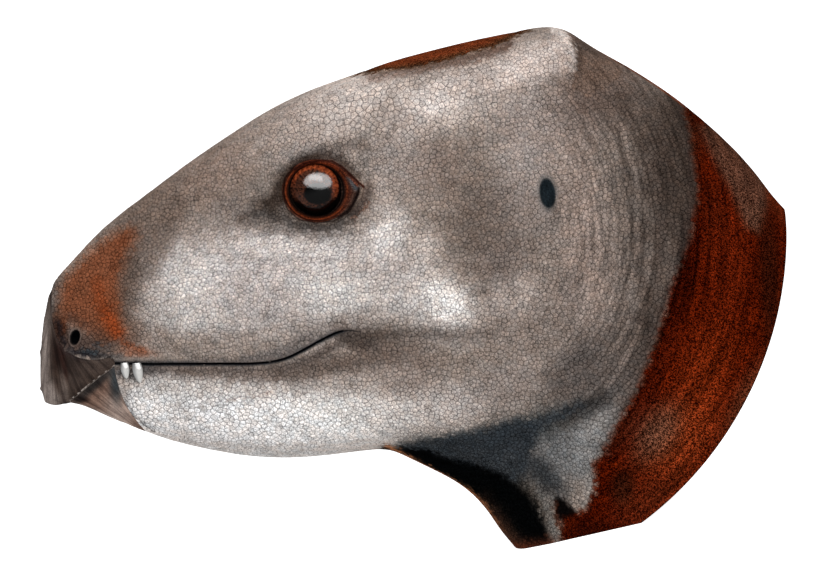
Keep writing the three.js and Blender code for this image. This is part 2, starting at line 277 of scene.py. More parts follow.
solids, solid_faces, corner_count = [], [], 0
for node in ("head", "upper_beak", "lower_beak", "left_eyeball", "right_eyeball"):
    corners, faces = read_mesh(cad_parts[node].data)
    corners = to_head(corners)
    to_cut = np.minimum(np.abs(base_room(corners)), np.abs(sweep_room(corners, domed=False)))
    corners[to_cut < on_a_cut] += neck_leads * past_the_cut
    solids.append(corners)
    solid_faces.append(faces + corner_count)
    corner_count += len(corners)
flesh = modified(new_mesh("flesh", np.concatenate(solids), np.concatenate(solid_faces)),
                 "REMESH", mode="VOXEL", voxel_size=flesh_grain)
rough, _ = read_mesh(flesh)
back = (rough[:, :1] - beak_to_skin[0]) / (beak_to_skin[1] - beak_to_skin[0])
smoothing = beak_smoothing + (skin_smoothing - beak_smoothing) * np.clip(back, 0, 1)
to_frill = np.hypot(rough[:, :1] - frill_corner[0], rough[:, 2:] - frill_corner[1])
smoothing = smoothing * (1 - frill_crispness * np.exp(-(to_frill / frill_reach) ** 2))
flesh_edges = listed(flesh.edges, "vertices", 2, int)
under_skin_points = spread_smooth(rough, flesh_edges, smoothing_rounds, smoothing)
flesh.vertices.foreach_set("co", under_skin_points.ravel())
under_skin_faces = read_mesh(flesh)[1]
flesh = modified(flesh, "SUBSURF", levels=1)
flesh_points, flesh_faces = read_mesh(flesh)
flesh_normals = listed(flesh.vertex_normals, "vector", 3)
flesh_tree = BVHTree.FromPolygons(flesh_points.tolist(), flesh_faces.tolist())


def normals_at(places, faces):
    near = flesh_faces[faces]
    weight = 1 / (((flesh_points[near] - places[:, None]) ** 2).sum(2) + 0.01)
    normals = (flesh_normals[near] * weight[:, :, None]).sum(1)
    return normals / np.linalg.norm(normals, axis=1, keepdims=True)


def on_skin(points):
    """The nearest places on the form, and the ways out of it there."""
    hits = [flesh_tree.find_nearest(point) for point in np.asarray(points).tolist()]
    places = np.array([hit[0] for hit in hits])
    return places, normals_at(places, np.array([hit[2] for hit in hits]))


def skin_from(starts, direction):
    """Where rays from outside first meet the form, and the ways out of it there."""
    hits = [flesh_tree.ray_cast(start, direction) for start in np.asarray(starts).tolist()]
    places = np.array([hit[0] if hit[0] else start for hit, start in zip(hits, starts)], dtype=float)
    return places, normals_at(places, np.array([hit[2] or 0 for hit in hits]))


def trimmed(points, faces, room, *fields):
    """The part of a triangle mesh that has room above nothing, cut clean through its faces."""
    inside = room > 0
    count = inside[faces].sum(1)
    parts = [faces[count == 3]]
    pairs = []
    for few, odd_is_inside in ((1, True), (2, False)):
        cut = faces[count == few]
        odd = np.argmax(inside[cut] == odd_is_inside, axis=1)
        cut = np.take_along_axis(cut, (odd[:, None] + np.arange(3)) % 3, axis=1)
        pairs.append(cut)
    both = np.concatenate([cut[:, [0, k]] for cut in pairs for k in (1, 2)])
    ordered = np.sort(both, axis=1)
    unique, index = np.unique(ordered, axis=0, return_inverse=True)
    index = index.ravel() + len(points)
    ends = np.split(index, np.cumsum([len(cut) for cut in pairs for _ in (1, 2)])[:-1])
    parts.append(np.stack([pairs[0][:, 0], ends[0], ends[1]], axis=1))
    parts.append(np.stack([ends[2], pairs[1][:, 1], pairs[1][:, 2]], axis=1))
    parts.append(np.stack([ends[2], pairs[1][:, 2], ends[3]], axis=1))
    first, second = unique[:, 0], unique[:, 1]
    way = (room[first] / (room[first] - room[second]))[:, None]
    grown = [np.concatenate([field, field[first] + way * (field[second] - field[first])])
             for field in (points, *fields)]
    faces = np.concatenate(parts)
    used, faces = np.unique(faces, return_inverse=True)
    return faces.reshape(-1, 3), *(field[used] for field in grown)


def flipped_to(points, faces, outward):
    """The faces, turned over if they look away from a direction."""
    a, b, c = (points[faces[:, k]] for k in range(3))
    return faces if (np.cross(b - a, c - a) @ outward).sum() > 0 else faces[:, ::-1]


def sheet(rows, columns, closed=False):
    """Faces of a grid of points, a row after a row."""
    across = np.arange(columns if closed else columns - 1)
    beside = (across + 1) % columns
    start = np.arange(rows - 1)[:, None] * columns
    quads = [start + across, start + beside, start + beside + columns, start + across + columns]
    return np.stack(quads, axis=2).reshape(-1, 4)


def piece(name, points, faces, material, stands_for, fields=None):
    """A finished piece, from points in the head's frame."""
    mesh = new_mesh(name, to_world(points), faces)
    mesh.polygons.foreach_set("use_smooth", np.ones(len(faces), dtype=bool))
    for field, values in (fields or {}).items():
        attribute = mesh.attributes.new(field, "FLOAT_VECTOR", "POINT")
        attribute.data.foreach_set("vector", np.asarray(values, dtype=float).ravel())
    mesh.materials.append(material)
    body = bpy.data.objects.new(name, mesh)
    bpy.context.scene.collection.objects.link(body)
    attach(body, "root")
    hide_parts(*stands_for)


class Finish:
    """A procedural material, put together a node at a time."""

    def __init__(self, name, roughness, **sockets):
        self.material = bpy.data.materials.new(name)
        self.material.use_nodes = True
        self.tree = self.material.node_tree
        self.surface = self.tree.nodes["Principled BSDF"]
        self.surface.inputs["Roughness"].default_value = roughness
        for socket, value in sockets.items():
            self.surface.inputs[socket.replace("_", " ")].default_value = value

    def feed(self, socket, value):
        if isinstance(value, bpy.types.NodeSocket):
            self.tree.links.new(value, socket)
        else:
            socket.default_value = value

    def node(self, kind, *inputs, **settings):
        made = self.tree.nodes.new(kind)
        for name, value in settings.items():
            setattr(made, name, value)
        for socket, value in zip(made.inputs, inputs):
            self.feed(socket, value)
        return made

    def math(self, operation, *inputs):
        return self.node("ShaderNodeMath", *inputs, operation=operation).outputs[0]

    def vector_math(self, operation, *inputs):
        return self.node("ShaderNodeVectorMath", *inputs, operation=operation).outputs[0]

    def scaled(self, colour, times):
        made = self.node("ShaderNodeVectorMath", colour, operation="SCALE")
        self.feed(made.inputs["Scale"], times)
        return made.outputs[0]

    def swing(self, noise, reach):
        """What a noise adds and takes away, evenly about nothing."""
        return self.math("MULTIPLY", self.math("SUBTRACT", noise, 0.5), reach)

    def place(self):
        return self.node("ShaderNodeTexCoord").outputs["Object"]

    def field(self, name):
        return self.node("ShaderNodeAttribute", attribute_name=name).outputs["Vector"]

    def parts(self, vector):
        return self.node("ShaderNodeSeparateXYZ", vector).outputs

    def step(self, value, low, high):
        """0 below low and 1 above high, smooth between."""
        made = self.node("ShaderNodeMapRange", value, low, high, 0.0, 1.0, interpolation_type="SMOOTHSTEP")
        return made.outputs[0]

    def noise(self, vector, scale, detail=2.0, roughness=0.5):
        made = self.tree.nodes.new("ShaderNodeTexNoise")
        self.feed(made.inputs["Vector"], vector)
        for socket, value in (("Scale", scale), ("Detail", detail), ("Roughness", roughness)):
            made.inputs[socket].default_value = value
        return made.outputs["Fac"]

    def mix(self, share, one, other, way="MIX"):
        made = self.node("ShaderNodeMix", share, data_type="RGBA", blend_type=way)
        for socket, value in zip(colours_of(made.inputs), (one, other)):
            self.feed(socket, value)
        return colours_of(made.outputs)[0]

    def times(self, colour, other):
        return self.mix(1.0, colour, other, "MULTIPLY")

    def colour(self, value):
        self.tree.links.new(value, self.surface.inputs["Base Color"])

    def bump(self, height, depth):
        made = self.tree.nodes.new("ShaderNodeBump")
        made.inputs["Distance"].default_value = depth
        made.inputs["Strength"].default_value = 1.0
        self.tree.links.new(height, made.inputs["Height"])
        self.tree.links.new(made.outputs["Normal"], self.surface.inputs["Normal"])


daylight = 1.34                  # how much brighter than its own colour the studio shows a surface
far_off = 1000.0                 # further than any two places on the head are apart


def linear(colour):
    """A colour as it should look, red, green and blue from 0 to 255, as the colour of the surface."""
    part = np.asarray(colour, dtype=float) / 255
    return np.where(part <= 0.04045, part / 12.92, ((part + 0.055) / 1.055) ** 2.4) / daylight


def solid_colour(*parts):
    return (*linear(parts), 1.0)


def to_line(points, line, closed=False):
    """Distance of each point from a line drawn in side view, and how far along the line it is nearest."""
    spot = points[:, [0, 2]]
    line = np.asarray(line, dtype=float)
    start, end = (line, np.roll(line, -1, axis=0)) if closed else (line[:-1], line[1:])
    run = end - start
    gap, along = np.full(len(spot), far_off), np.zeros(len(spot))
    for index, (corner, step) in enumerate(zip(start, run)):
        away = spot - corner
        share = np.clip(away @ step / max(step @ step, 1e-9), 0, 1)
        here = np.hypot(*(away - share[:, None] * step).T)
        nearer = here < gap
        gap[nearer] = here[nearer]
        along[nearer] = (index + share[nearer]) / len(run)
    return gap, along


def outside_outline(points, outline):
    """Distance from an outline drawn in side view, below nothing inside it."""
    gap, _ = to_line(points, outline, closed=True)
    across, up = points[:, 0], points[:, 2]
    inside = np.zeros(len(points), dtype=bool)
    outline = np.asarray(outline, dtype=float)
    for (x1, z1), (x2, z2) in zip(outline, np.roll(outline, -1, axis=0)):
        if z1 != z2:
            inside ^= ((z1 > up) != (z2 > up)) & (across < x1 + (up - z1) * (x2 - x1) / (z2 - z1))
    return np.where(inside, -gap, gap)


# The markings, as soft coats laid over each other in side view: where the middle of each is, how far
# it reaches along and across itself, its slant in degrees, how well it covers, and its colour. Many of
# them, here and in the areas and strokes below, are painted shade, shadow or highlight.
coats = [
    ("bridge of the snout", (34, 44), (17, 9), 42, 0.95, (119, 103, 93)),
    ("bridge before the eye", (53, 58), (15, 9), 36, 0.85, (139, 120, 109)),
    ("lores", (59, 47), (8, 6), 20, 0.7, (128, 116, 109)),
    ("forehead", (80, 74), (22, 9), 26, 0.9, (172, 157, 148)),
    ("top of the forehead", (95, 82), (17, 7), 18, 0.85, (216, 203, 195)),
    ("brow", (82, 64), (14, 4), 12, 0.7, (170, 159, 153)),
    ("cheek", (62, 24), (36, 15), 0, 1.0, (200, 191, 187)),
    ("cheek highlight", (45, 26), (10, 9), 30, 0.7, (230, 224, 220)),
    ("under the eye", (86, 32), (14, 5), 10, 0.8, (212, 203, 199)),
    ("behind the cheek", (88, 21.4), (13, 7), 0, 0.75, (232, 227, 223)),
    ("before the mouth corner", (86, 10), (13, 4), 22, 0.8, (148, 138, 132)),
    ("muzzle", (26, 25), (5, 18), -12, 0.9, (99, 83, 74)),
    ("muzzle foot", (31, 8), (9, 5), 0, 0.85, (144, 129, 120)),
    ("front of the snout", (4.6, 18), (2.6, 12), -4, 0.9, (100, 90, 84)),
    ("pale front", (4.2, 21), (1.6, 4), 0, 0.6, (122, 112, 107)),
    ("dark before the nostril", (6.4, 9), (2.6, 5.6), 10, 0.95, (34, 21, 17)),
    ("foot of the rust", (18, 6), (11, 3), 8, 0.8, (82, 64, 56)),
    ("temple before", (108, 62), (11, 10), 0, 0.8, (158, 147, 141)),
    ("brown temple", (120, 60), (9, 9), 0, 0.7, (134, 118, 109)),
    ("temple hollow", (134, 42), (13, 19), 16, 0.95, (112, 99, 91)),
    ("foot of the hollow", (139, 30), (8, 7), 0, 0.6, (120, 109, 104)),
    ("bar behind the eye", (102.6, 50), (5, 8), 0, 0.75, (170, 157, 149)),
    # Painted highlight on the bar behind the eye.
    ("highlight on the bar", (104, 39), (6, 9), -30, 0.95, (228, 221, 217)),
    ("jugal", (108, 28), (13, 8), -20, 0.7, (200, 191, 187)),
    ("jugal highlight", (122, 19), (11, 7.5), -35, 1.0, (247, 241, 237)),
    ("foot of the jugal", (121, 10), (13, 4), 0, 0.7, (170, 160, 154)),
    # Painted highlight along the crest of the ridge.
    ("highlight on the ridge", (119, 78.6), (14, 7), 20, 0.95, (226, 215, 209)),
    ("ridge", (132, 86), (16, 6), 14, 0.85, (192, 178, 170)),
    ("under the ridge", (134, 77), (16, 5), 14, 0.7, (190, 176, 167)),
    ("pale end of the ridge", (147, 90), (10, 7), 10, 0.9, (212, 197, 189)),
    ("frill corner", (155, 92), (6, 5), 0, 0.7, (178, 163, 154)),
    ("over the ear", (148, 72), (13, 11), 0, 0.8, (150, 138, 132)),
    ("round the ear", (146, 53), (10, 15), 0, 0.7, (148, 136, 130)),
    ("under the ear", (151, 41), (8, 9), 0, 0.6, (130, 118, 111)),
    ("rear cheek", (150, 14), (20, 15), 0, 0.95, (138, 125, 117)),
    ("behind the ear", (162, 50), (8, 34), 4, 0.8, (142, 126, 117)),
    ("side of the neck", (166, 32), (8, 20), 6, 0.7, (160, 142, 132)),
    ("nape", (168, 82), (14, 13), -30, 0.95, (106, 90, 82)),
    ("grey of the neck", (177, 48), (9, 30), 10, 0.85, (106, 95, 88)),
    ("dark of the neck", (188, 58), (8, 26), 12, 0.95, (69, 58, 52)),
    ("neck over the shoulder", (175, 22), (8, 18), 0, 0.8, (119, 107, 100)),
    ("low neck", (181, 4), (8, 15), -14, 0.9, (100, 88, 81)),
    ("grey low neck", (172, -5), (8, 11), -20, 0.8, (99, 89, 84)),
    # The chin and jaw coats are the jaw's own pale underside made paler still: painted light where the light
    # from above leaves it in shade.
    ("chin", (34, -14), (9, 9), 40, 0.9, (226, 223, 221)),
    ("jaw", (66, -16.5), (45, 11), -2, 1.0, (244, 241, 240)),
    ("lip of the jaw", (56, -3.0), (34, 2.4), 0, 0.85, (140, 129, 123)),
    ("back lip of the jaw", (86, -0.4), (18, 3.0), 8, 0.95, (108, 96, 89)),
    ("painted light on the jaw", (90, -15), (22, 7), 0, 0.8, (250, 247, 244)),
    ("back of the jaw", (106, -14), (13, 8), 0, 0.8, (214, 206, 201)),
    ("edge of the jaw", (70, -27.5), (42, 2.4), -2, 0.8, (196, 193, 191)),
    ("corner of the mouth", (98, 7), (9, 3.6), -24, 0.95, (76, 66, 61)),
    ("behind the mouth corner", (109, 4), (11, 5), -14, 0.85, (122, 108, 100)),
    # Painted shade over the jaw muscle, behind the mouth.
    ("jaw muscle", (109, -4), (12, 5), 0, 0.7, (150, 136, 128)),
    ("angle of the jaw", (124, -11), (11, 7), 12, 0.8, (196, 187, 182)),
    ("behind the angle", (140, -5), (11, 7), 14, 0.8, (148, 137, 131)),
    ("grey throat", (157, -25), (10, 9), 0, 0.95, (110, 111, 112)),
    ("pale throat", (166, -21), (7, 12), -22, 0.95, (142, 141, 140)),
    ("jaw under the lip", (52, -6.2), (22, 3.4), -1, 0.75, (216, 210, 206)),
    ("jaw behind it", (88, -5.0), (14, 3.4), 6, 0.6, (186, 174, 166)),
    ("pale of the front cheek", (46, 13.6), (14, 4.0), 0, 0.75, (208, 202, 198)),
    ("light under the eye", (76, 36.6), (23, 4.4), 3, 0.75, (222, 214, 210)),
    ("pale behind the bar", (114, 35.6), (6, 5.6), -20, 0.85, (206, 195, 188)),
    ("pale over the corner", (104, 20.4), (15, 5.6), -24, 0.75, (208, 201, 197)),
    ("pale of the rear cheek", (145, 23.4), (5, 6.5), 0, 0.7, (174, 161, 153)),
    ("shade under the temple", (158.5, 24), (4, 7), 0, 0.6, (120, 107, 100)),
    ("shade of the low neck", (160.5, -0.6), (14.5, 8), 52, 0.9, (88, 80, 76)),
    ("over the ear before", (143, 62), (6, 6), 0, 0.6, (172, 161, 155)),
    ("pale of the crest", (156, 91), (4, 4.5), 0, 0.7, (206, 190, 181)),
    ("shade before the brow", (35.6, 35), (4, 15), -24, 0.55, (104, 89, 80)),
    ("brown under the ridge", (108, 73.6), (7, 4), 0, 0.6, (156, 142, 134)),
    ("shade over the teeth", (27, 11), (4, 6), 0, 0.6, (98, 76, 64)),
    ("over the brow", (92, 72), (9, 3.6), 10, 0.6, (196, 184, 177)),
    ("pale before the jaw muscle", (138, 20.5), (6, 5), -50, 0.6, (178, 166, 159)),
    ("grey of the cheek", (70, 19), (13, 5), -8, 0.5, (178, 168, 163)),
    ("shade before the low neck", (172.5, 8), (4, 9), -10, 0.5, (92, 82, 76)),
    ("round the nostril", (11.5, 6.4), (5.5, 4.6), -20, 0.5, (72, 56, 50)),
    # The throat under the overhanging jaw is painted in its shadow: blue shade deepening to black.
    ("blue shade of the throat", (124, -24.5), (19, 4.6), 13, 0.97, (66, 71, 74)),
    ("blue shade behind it", (145, -18.5), (17, 5), 20, 0.95, (66, 68, 68)),
    ("end of the shade", (164, -11), (10, 3), 32, 0.8, (50, 48, 47)),
    ("black shadow under the jaw", (128, -31.5), (17, 5.4), -28, 1.0, (12, 14, 14)),
    ("black shadow down the throat", (143, -44), (8, 15), 24, 1.0, (5, 6, 6)),
    ("blue grey shadow beside the black", (150.6, -32.6), (9.5, 4.2), -48, 0.9, (50, 53, 56)),
    ("redness of the lip", (29, 3.4), (6, 1.5), 0, 0.7, (139, 88, 66)),
    # Painted shadow line where the skin meets the upper beak.
    ("shadow along the beak's edge", (16, 2.6), (8, 1.3), -4, 0.9, (52, 50, 52)),
]
# Outlines of the red band on the neck and of the skull's rust-coloured top
red_outline = [
    (192.7, 80), (193.3, 74), (194.3, 70), (194.8, 65.7), (195.4, 61.3), (196.2, 56.9), (196.4, 52.6),
    (196.1, 48.2), (195.1, 43.2), (194.2, 38.6), (192.7, 34.5), (191.2, 30.4), (189.1, 25.7), (187.9, 21.6),
    (186.2, 15.8), (184.7, 10.2), (182.7, 4.3), (180.8, -0.1), (179, -5.5), (176.1, -10.6), (173.1, -15.6),
    (170.8, -20.2), (168.7, -24.1), (165.6, -28.2), (165.8, -32.6), (166, -36.2), (164.6, -39.4),
    (163.6, -42.2), (160.2, -44.2), (157, -45), (155.9, -48.9), (156.6, -60), (156, -75), (245, -75),
    (245, 100), (192, 100)]
roof_outline = [
    (90, 84.9), (93.9, 85.6), (99.1, 86.5), (105.1, 87.5), (110.4, 88.2), (115.5, 89.1), (119.9, 90.3),
    (124.4, 91.5), (128.9, 92.9), (133.3, 93.8), (136.9, 95.3), (141.1, 97), (145, 98.7), (148.1, 99.7),
    (149, 110), (90, 110)]
# Patches with such an edge: how soft it is, how well it covers, its colour and outline
areas = [
    ("rust of the snout", 2.8, 0.86, (124, 68, 42), [
        (6.2, 8.5), (5.6, 16), (6.2, 22), (8, 25.6), (12.2, 30.4), (16.8, 35), (22, 38.4), (27, 40.6),
        (29.4, 38.8), (27.2, 34), (25.4, 29.6), (24.2, 24.4), (24.7, 18.4), (24.8, 13.4), (24, 9.4),
        (20, 7), (14, 9.6), (9, 12), (7.4, 10)]),
    # The brown of the neck behind the frill, darkened with painted shade.
    ("shaded neck behind the frill", 0.35, 0.95, (110, 91, 80), [
        (157, 99.6), (158.1, 98.4), (159.3, 96.9), (160.4, 94.9), (161, 92.6), (160.9, 89.7), (160, 86.6),
        (158.6, 83), (164, 80), (174, 86), (176, 104), (158, 104)]),
    # Painted shadow of the throat under the jaw, dark blue and then black.
    ("dark blue shadow under the jaw", 2.0, 0.93, (50, 55, 60), [
        (108, -24), (119.9, -21.2), (128.8, -19.2), (136.2, -17), (143.6, -15.6), (149.5, -15.4),
        (153.1, -13.9), (157.2, -11.4), (161.3, -9), (162.6, -10.6), (158.4, -13.4), (153.1, -16.5),
        (149, -19.1), (148.4, -22.2), (147.2, -25.4), (146.4, -28.6), (146, -32.6), (128, -42),
        (110, -30)]),
    ("black shadow under the jaw", 1.5, 1.0, (5, 6, 7), [
        (103, -24.5), (115.5, -24.9), (120, -26.9), (125.9, -29), (131.9, -30.1), (136.6, -31.7),
        (140.8, -34.1), (143.5, -36.5), (145.5, -38.8), (147.3, -41.2), (149.1, -44.2), (150.6, -47.2),
        (151.8, -50.5), (153, -60), (136, -60), (120, -44), (100, -32)]),
    ("dark wedge", 0.9, 0.97, (8, 6, 6), [
        (153.8, -39.5), (155.6, -38.7), (157.7, -40.6), (160.1, -43.3), (162.1, -44.7), (158.6, -46.2),
        (154.8, -46.4)]),
]
# Lines drawn on the skin: width, cover at the start and at the end, colour and points
strokes = [
    ("brow shadow", 1.6, 0.4, 0.4, (64, 54, 48), [
        (74.3, 55.6), (76.6, 58.9), (79.2, 61.4), (82, 63.2), (84.8, 64.6), (87.8, 65.6), (91, 66.2),
        (94.6, 66.2), (98, 65.4)]),
    ("shade round the lids", 1.5, 0.45, 0.8, (58, 50, 46), [
        (91, 63), (85, 63.6), (79, 62.2), (74.6, 58.6), (72.2, 53), (72.8, 47.6), (76.2, 43.6), (81, 41.7),
        (86, 41.4), (91, 43.4), (95, 46.8)]),
    ("close shade of the lids", 1.25, 0.95, 0.6, (42, 32, 28), [
        (72.7, 49.5), (73, 52.5), (74.2, 56.1), (76.3, 58.8), (78.4, 60.6), (80.8, 61.8), (83.7, 62.4),
        (87.3, 62.4), (90.3, 61.2), (93.2, 59.1), (95.6, 56.8)]),
    ("shade before the lids", 2.4, 0.75, 0.75, (58, 48, 42), [
        (73.4, 55.4), (71.4, 51.8), (70, 48.4), (70.4, 45)]),
    ("crease before the eye", 1.3, 0.9, 0.6, (62, 52, 46), [
        (72.7, 51.5), (70, 49.2), (67, 47), (64, 45.2), (60.5, 43.6)]),
    ("shade under the lids", 1.6, 0.6, 0.6, (60, 56, 54), [
        (65, 45.4), (69.5, 45), (72.4, 44), (75.4, 42.6), (78.4, 41.7), (81.9, 41.1), (85.5, 41.2),
        (88.8, 42.2), (91.6, 44), (93.4, 46)]),
    ("soft shade under it", 2.2, 0.5, 0.4, (98, 89, 84), [
        (62, 43), (66, 42.4), (72.5, 41), (77.8, 39.6), (82.5, 39), (87.3, 39.8), (92, 42)]),
    ("shade behind the lids", 1.3, 0.5, 0.4, (122, 108, 99), [
        (93.8, 57.6), (96.8, 56), (98.9, 52.9), (99.5, 49.9)]),
    ("thin crease behind the lids", 0.3, 0.6, 0.7, (122, 70, 48), [
        (98.3, 49.7), (97.7, 47.6), (96.2, 45.9), (94.7, 44.1)]),
    ("pale of the throat", 2.2, 0.5, 0.5, (146, 143, 140), [
        (168.5, -17), (166.5, -24), (164.4, -33), (165, -40)]),
    ("pale stripe", 1.25, 0.2, 0.9, (106, 106, 105), [
        (148.6, -34.6), (150.4, -38.4), (152, -42.9), (153.4, -48.3), (155, -57)]),
    ("red beside the stripe", 0.6, 0.6, 0.6, (66, 26, 13), [
        (154.2, -40.5), (154.8, -46), (156, -50), (157.2, -56)]),
    ("brown edge of the throat", 1.0, 0.9, 0.95, (164, 108, 74), [
        (104, -24.6), (111, -28.9), (117, -32.8), (123, -35.5), (128.1, -38), (133.2, -42.8), (136.5, -48),
        (139.2, -53), (141.3, -57)]),
    ("brown front of the neck", 2.7, 0.3, 0.9, (94, 62, 47), [
        (133, -41), (136.6, -45.6), (139.6, -50.6), (142.6, -54.4), (146.4, -56.4)]),
    ("brown foot of the neck", 2.2, 0.9, 0.8, (88, 44, 29), [(140, -56.4), (145, -55), (152, -53.4)]),
    ("shade along the mouth", 0.8, 0.25, 0.8, (58, 56, 58), [
        (24, 0.6), (38, 0.6), (56, 1.0), (69, 1.8), (75, 3.4), (81, 6.4), (87, 9.5), (92, 10.8)]),
    ("shade under the lip", 1.4, 0.7, 0.9, (92, 82, 77), [
        (30, -1.4), (45, -1.8), (60, -1.5), (75, -0.4), (83, 3), (89, 6.4)]),
    # Painted shade under the upper lip, brown-grey.
    ("brown shade under the lip", 2.0, 0.4, 0.8, (116, 101, 92), [
        (44, -2.8), (63, -3.8), (78, -2.6), (93, 2.2), (106, 4.4)]),
    ("shade of the mouth corner", 2.2, 0.9, 0.3, (78, 68, 62), [
        (91, 8.6), (99, 9.8), (107, 10), (116, 10), (126, 9.8), (134, 10.6)]),
    ("fold over the corner", 0.3, 0.4, 0.9, (66, 58, 54), [
        (84.9, 12.3), (88.2, 13.3), (91.1, 12.9), (93.8, 11.2), (97, 9.2)]),
    ("pale of the frill", 2.4, 0.5, 0.8, (216, 201, 193), [
        (138, 84.5), (146, 88.6), (152, 93), (156.4, 97.4)]),
    ("edge of the frill", 0.9, 0.9, 0.4, (236, 224, 217), [
        (154, 99.6), (156.6, 98.2), (158.4, 95.2), (159.4, 92), (159.4, 88.4)]),
    ("shade behind the frill", 0.8, 0.6, 0.4, (62, 50, 44), [
        (159.4, 99), (160.8, 96.4), (161.8, 92.8), (161.7, 89), (160.9, 85.6)]),
    ("dark of the nape", 0.9, 0.8, 0.4, (70, 61, 56), [(162, 95.5), (165, 93.6), (169, 91.4)]),
    ("arc over the beak", 0.7, 0.8, 0.8, (34, 32, 36), [
        (5.9, 12), (6.2, 8.4), (7.4, 6.2), (9.3, 4.3), (11.7, 3.1), (14.4, 2.5)]),
    # Painted shadow line where the skin meets the upper beak.
    ("blue shadow over the beak", 0.55, 0.8, 0.7, (50, 60, 66), [(12.9, 4), (15, 3.5), (17.1, 2.9)]),
    ("blue behind the nostril", 0.5, 0.7, 0.5, (64, 68, 72), [(16.6, 5.6), (18.9, 4.7), (21, 5.6)]),
    ("rust on the lip", 0.8, 0.85, 0.6, (142, 78, 50), [(25.3, 6.1), (28, 5), (31.4, 4.3)]),
    ("shade round the teeth", 1.3, 0.9, 0.5, (74, 72, 73), [
        (24.6, -2.4), (28, -3), (32, -2.2), (37, -1.8)]),
    ("line behind the chin", 0.35, 0.7, 0.7, (52, 50, 50), [
        (25.4, -10), (27.3, -14), (30, -17.6), (34, -20.4)]),
    ("first jaw wrinkle", 0.22, 0.6, 0.6, (122, 116, 112), [(43, -13.6), (49.9, -12.9), (58, -11.6)]),
    ("second jaw wrinkle", 0.22, 0.5, 0.5, (146, 118, 102), [(56, -10.6), (64, -9.2), (70, -8)]),
    ("third jaw wrinkle", 0.22, 0.5, 0.5, (130, 124, 122), [(70, -19), (80, -17.2)]),
    ("cheek crease", 0.3, 0.7, 0.5, (92, 80, 73), [(132.9, 23.9), (134.2, 21.6), (135.3, 18.6)]),
    ("rear cheek crease", 0.3, 0.6, 0.5, (92, 80, 73), [(152.1, 19.9), (151.6, 17), (150.4, 14.2)]),
    ("dark beside the red", 4.6, 0.9, 0.35, (62, 52, 46), [
        (190, 78), (191, 66), (193, 54), (192, 44), (188, 33), (183, 20), (180, 10)]),
    ("dark edge of the red", 1.8, 0.75, 0.4, (50, 40, 36), [
        (191.6, 80), (193.6, 70), (195.2, 57), (194.8, 48), (192, 35.5), (188, 24), (184, 12.5), (180.8, 2),
        (177, -7.5), (171.6, -16.6), (167.4, -24)]),
    ("bright rust", 2.2, 0.35, 0.75, (154, 64, 26), [(17.5, 24), (18.5, 18.5), (21, 13.5), (24, 9)]),
    ("dark of the rust", 1.8, 0.6, 0.5, (84, 60, 50), [(9, 13.5), (13, 12), (18.5, 9)]),
    # Painted shade over the mouth line, blue-grey.
    ("shade over the mouth line", 1.2, 0.5, 0.7, (98, 92, 90), [(62, 2.4), (70, 3.6), (76, 6.2), (81, 9.4)]),
    ("shade of the roof's edge", 1.3, 0.5, 0.8, (96, 72, 61), [
        (99, 85.4), (108, 87.3), (117, 88.9), (126, 90.7), (135, 93.2), (141, 95.6)]),
    ("second neck streak", 1.9, 0.65, 0.5, (62, 53, 48), [(180.6, 43), (179.4, 35), (178.6, 28)]),
    ("dark streak of the neck", 1.9, 0.65, 0.5, (64, 54, 49), [
        (185.4, 44), (184.8, 34), (183.4, 24), (179.8, 14)]),
    ("streak of the nape", 2.8, 0.5, 0.5, (58, 48, 42), [(173.6, 79.4), (177.4, 73.4), (180.8, 66.6)]),
    ("shade before the lores", 1.8, 0.55, 0.5, (64, 54, 48), [(69.4, 48.4), (66.6, 49.4), (64.4, 48.6)]),
    ("shade behind the corner of the lids", 1.7, 0.7, 0.6, (66, 52, 46), [
        (98.4, 52.8), (97, 49.4), (94.8, 46.4)]),
    ("first neck streak", 0.7, 0.55, 0.3, (60, 51, 46), [
        (172.5, 72), (174.2, 60), (176.3, 46), (177.2, 34)]),
    ("third neck streak", 1.2, 0.5, 0.4, (60, 51, 46), [(180, 26), (181.5, 20), (181, 12)]),
]
red_coats = [
    ("deep red before", (191, 25), (4.5, 18), -14, 0.8, (44, 8, 2)),
    ("red of the side", (206, 32), (7, 17), 0, 0.7, (92, 28, 8)),
    ("red under the nape", (201, 48), (4, 10), 0, 0.7, (68, 20, 6)),
    ("red top", (195, 69), (3, 8), 12, 0.8, (62, 26, 14)),
    ("bright red", (198, -2), (9, 18), -18, 0.7, (108, 38, 12)),
    ("orange red", (191, -22), (10, 15), -34, 0.75, (122, 50, 22)),
    ("edge of the band", (183, -4), (2.4, 20), -22, 0.8, (60, 15, 4)),
    ("low edge of the band", (174.5, -18), (2.2, 9), -30, 0.6, (70, 30, 18)),
    ("grey in the red", (184, -19), (6, 10), -32, 0.7, (98, 72, 60)),
    ("low red", (183, -39), (14, 6), 36, 0.7, (94, 38, 19)),
    ("black in the red", (174, -35.6), (3.6, 5.6), -10, 0.7, (40, 20, 12)),
    ("foot of the red", (164.5, -49.5), (9, 4.6), 12, 0.9, (48, 12, 4)),
    ("dark rim", (217.8, 26), (3.2, 26), 2, 0.8, (46, 17, 8)),
    ("rim over the shoulder", (211, -11), (5, 16), -24, 0.7, (92, 54, 38)),
    ("red of the rim", (219.5, 50), (2.4, 9), 24, 0.7, (98, 42, 22)),
]
red_areas = [
    ("brown shoulder", 2.0, 0.8, (82, 60, 50), [
        (197, 71), (200.4, 62.6), (203.1, 57.7), (206.1, 52.4), (208.4, 46.5), (210.7, 41.2), (214.6, 39.5),
        (217.3, 47.6), (217.6, 55), (212.5, 62), (203, 72)]),
]
# Colours under the markings, and of the rust lines along the nape and the throat
bare_tint = (148.0, 135.0, 126.0)
band_tint = (68.0, 16.0, 2.0)
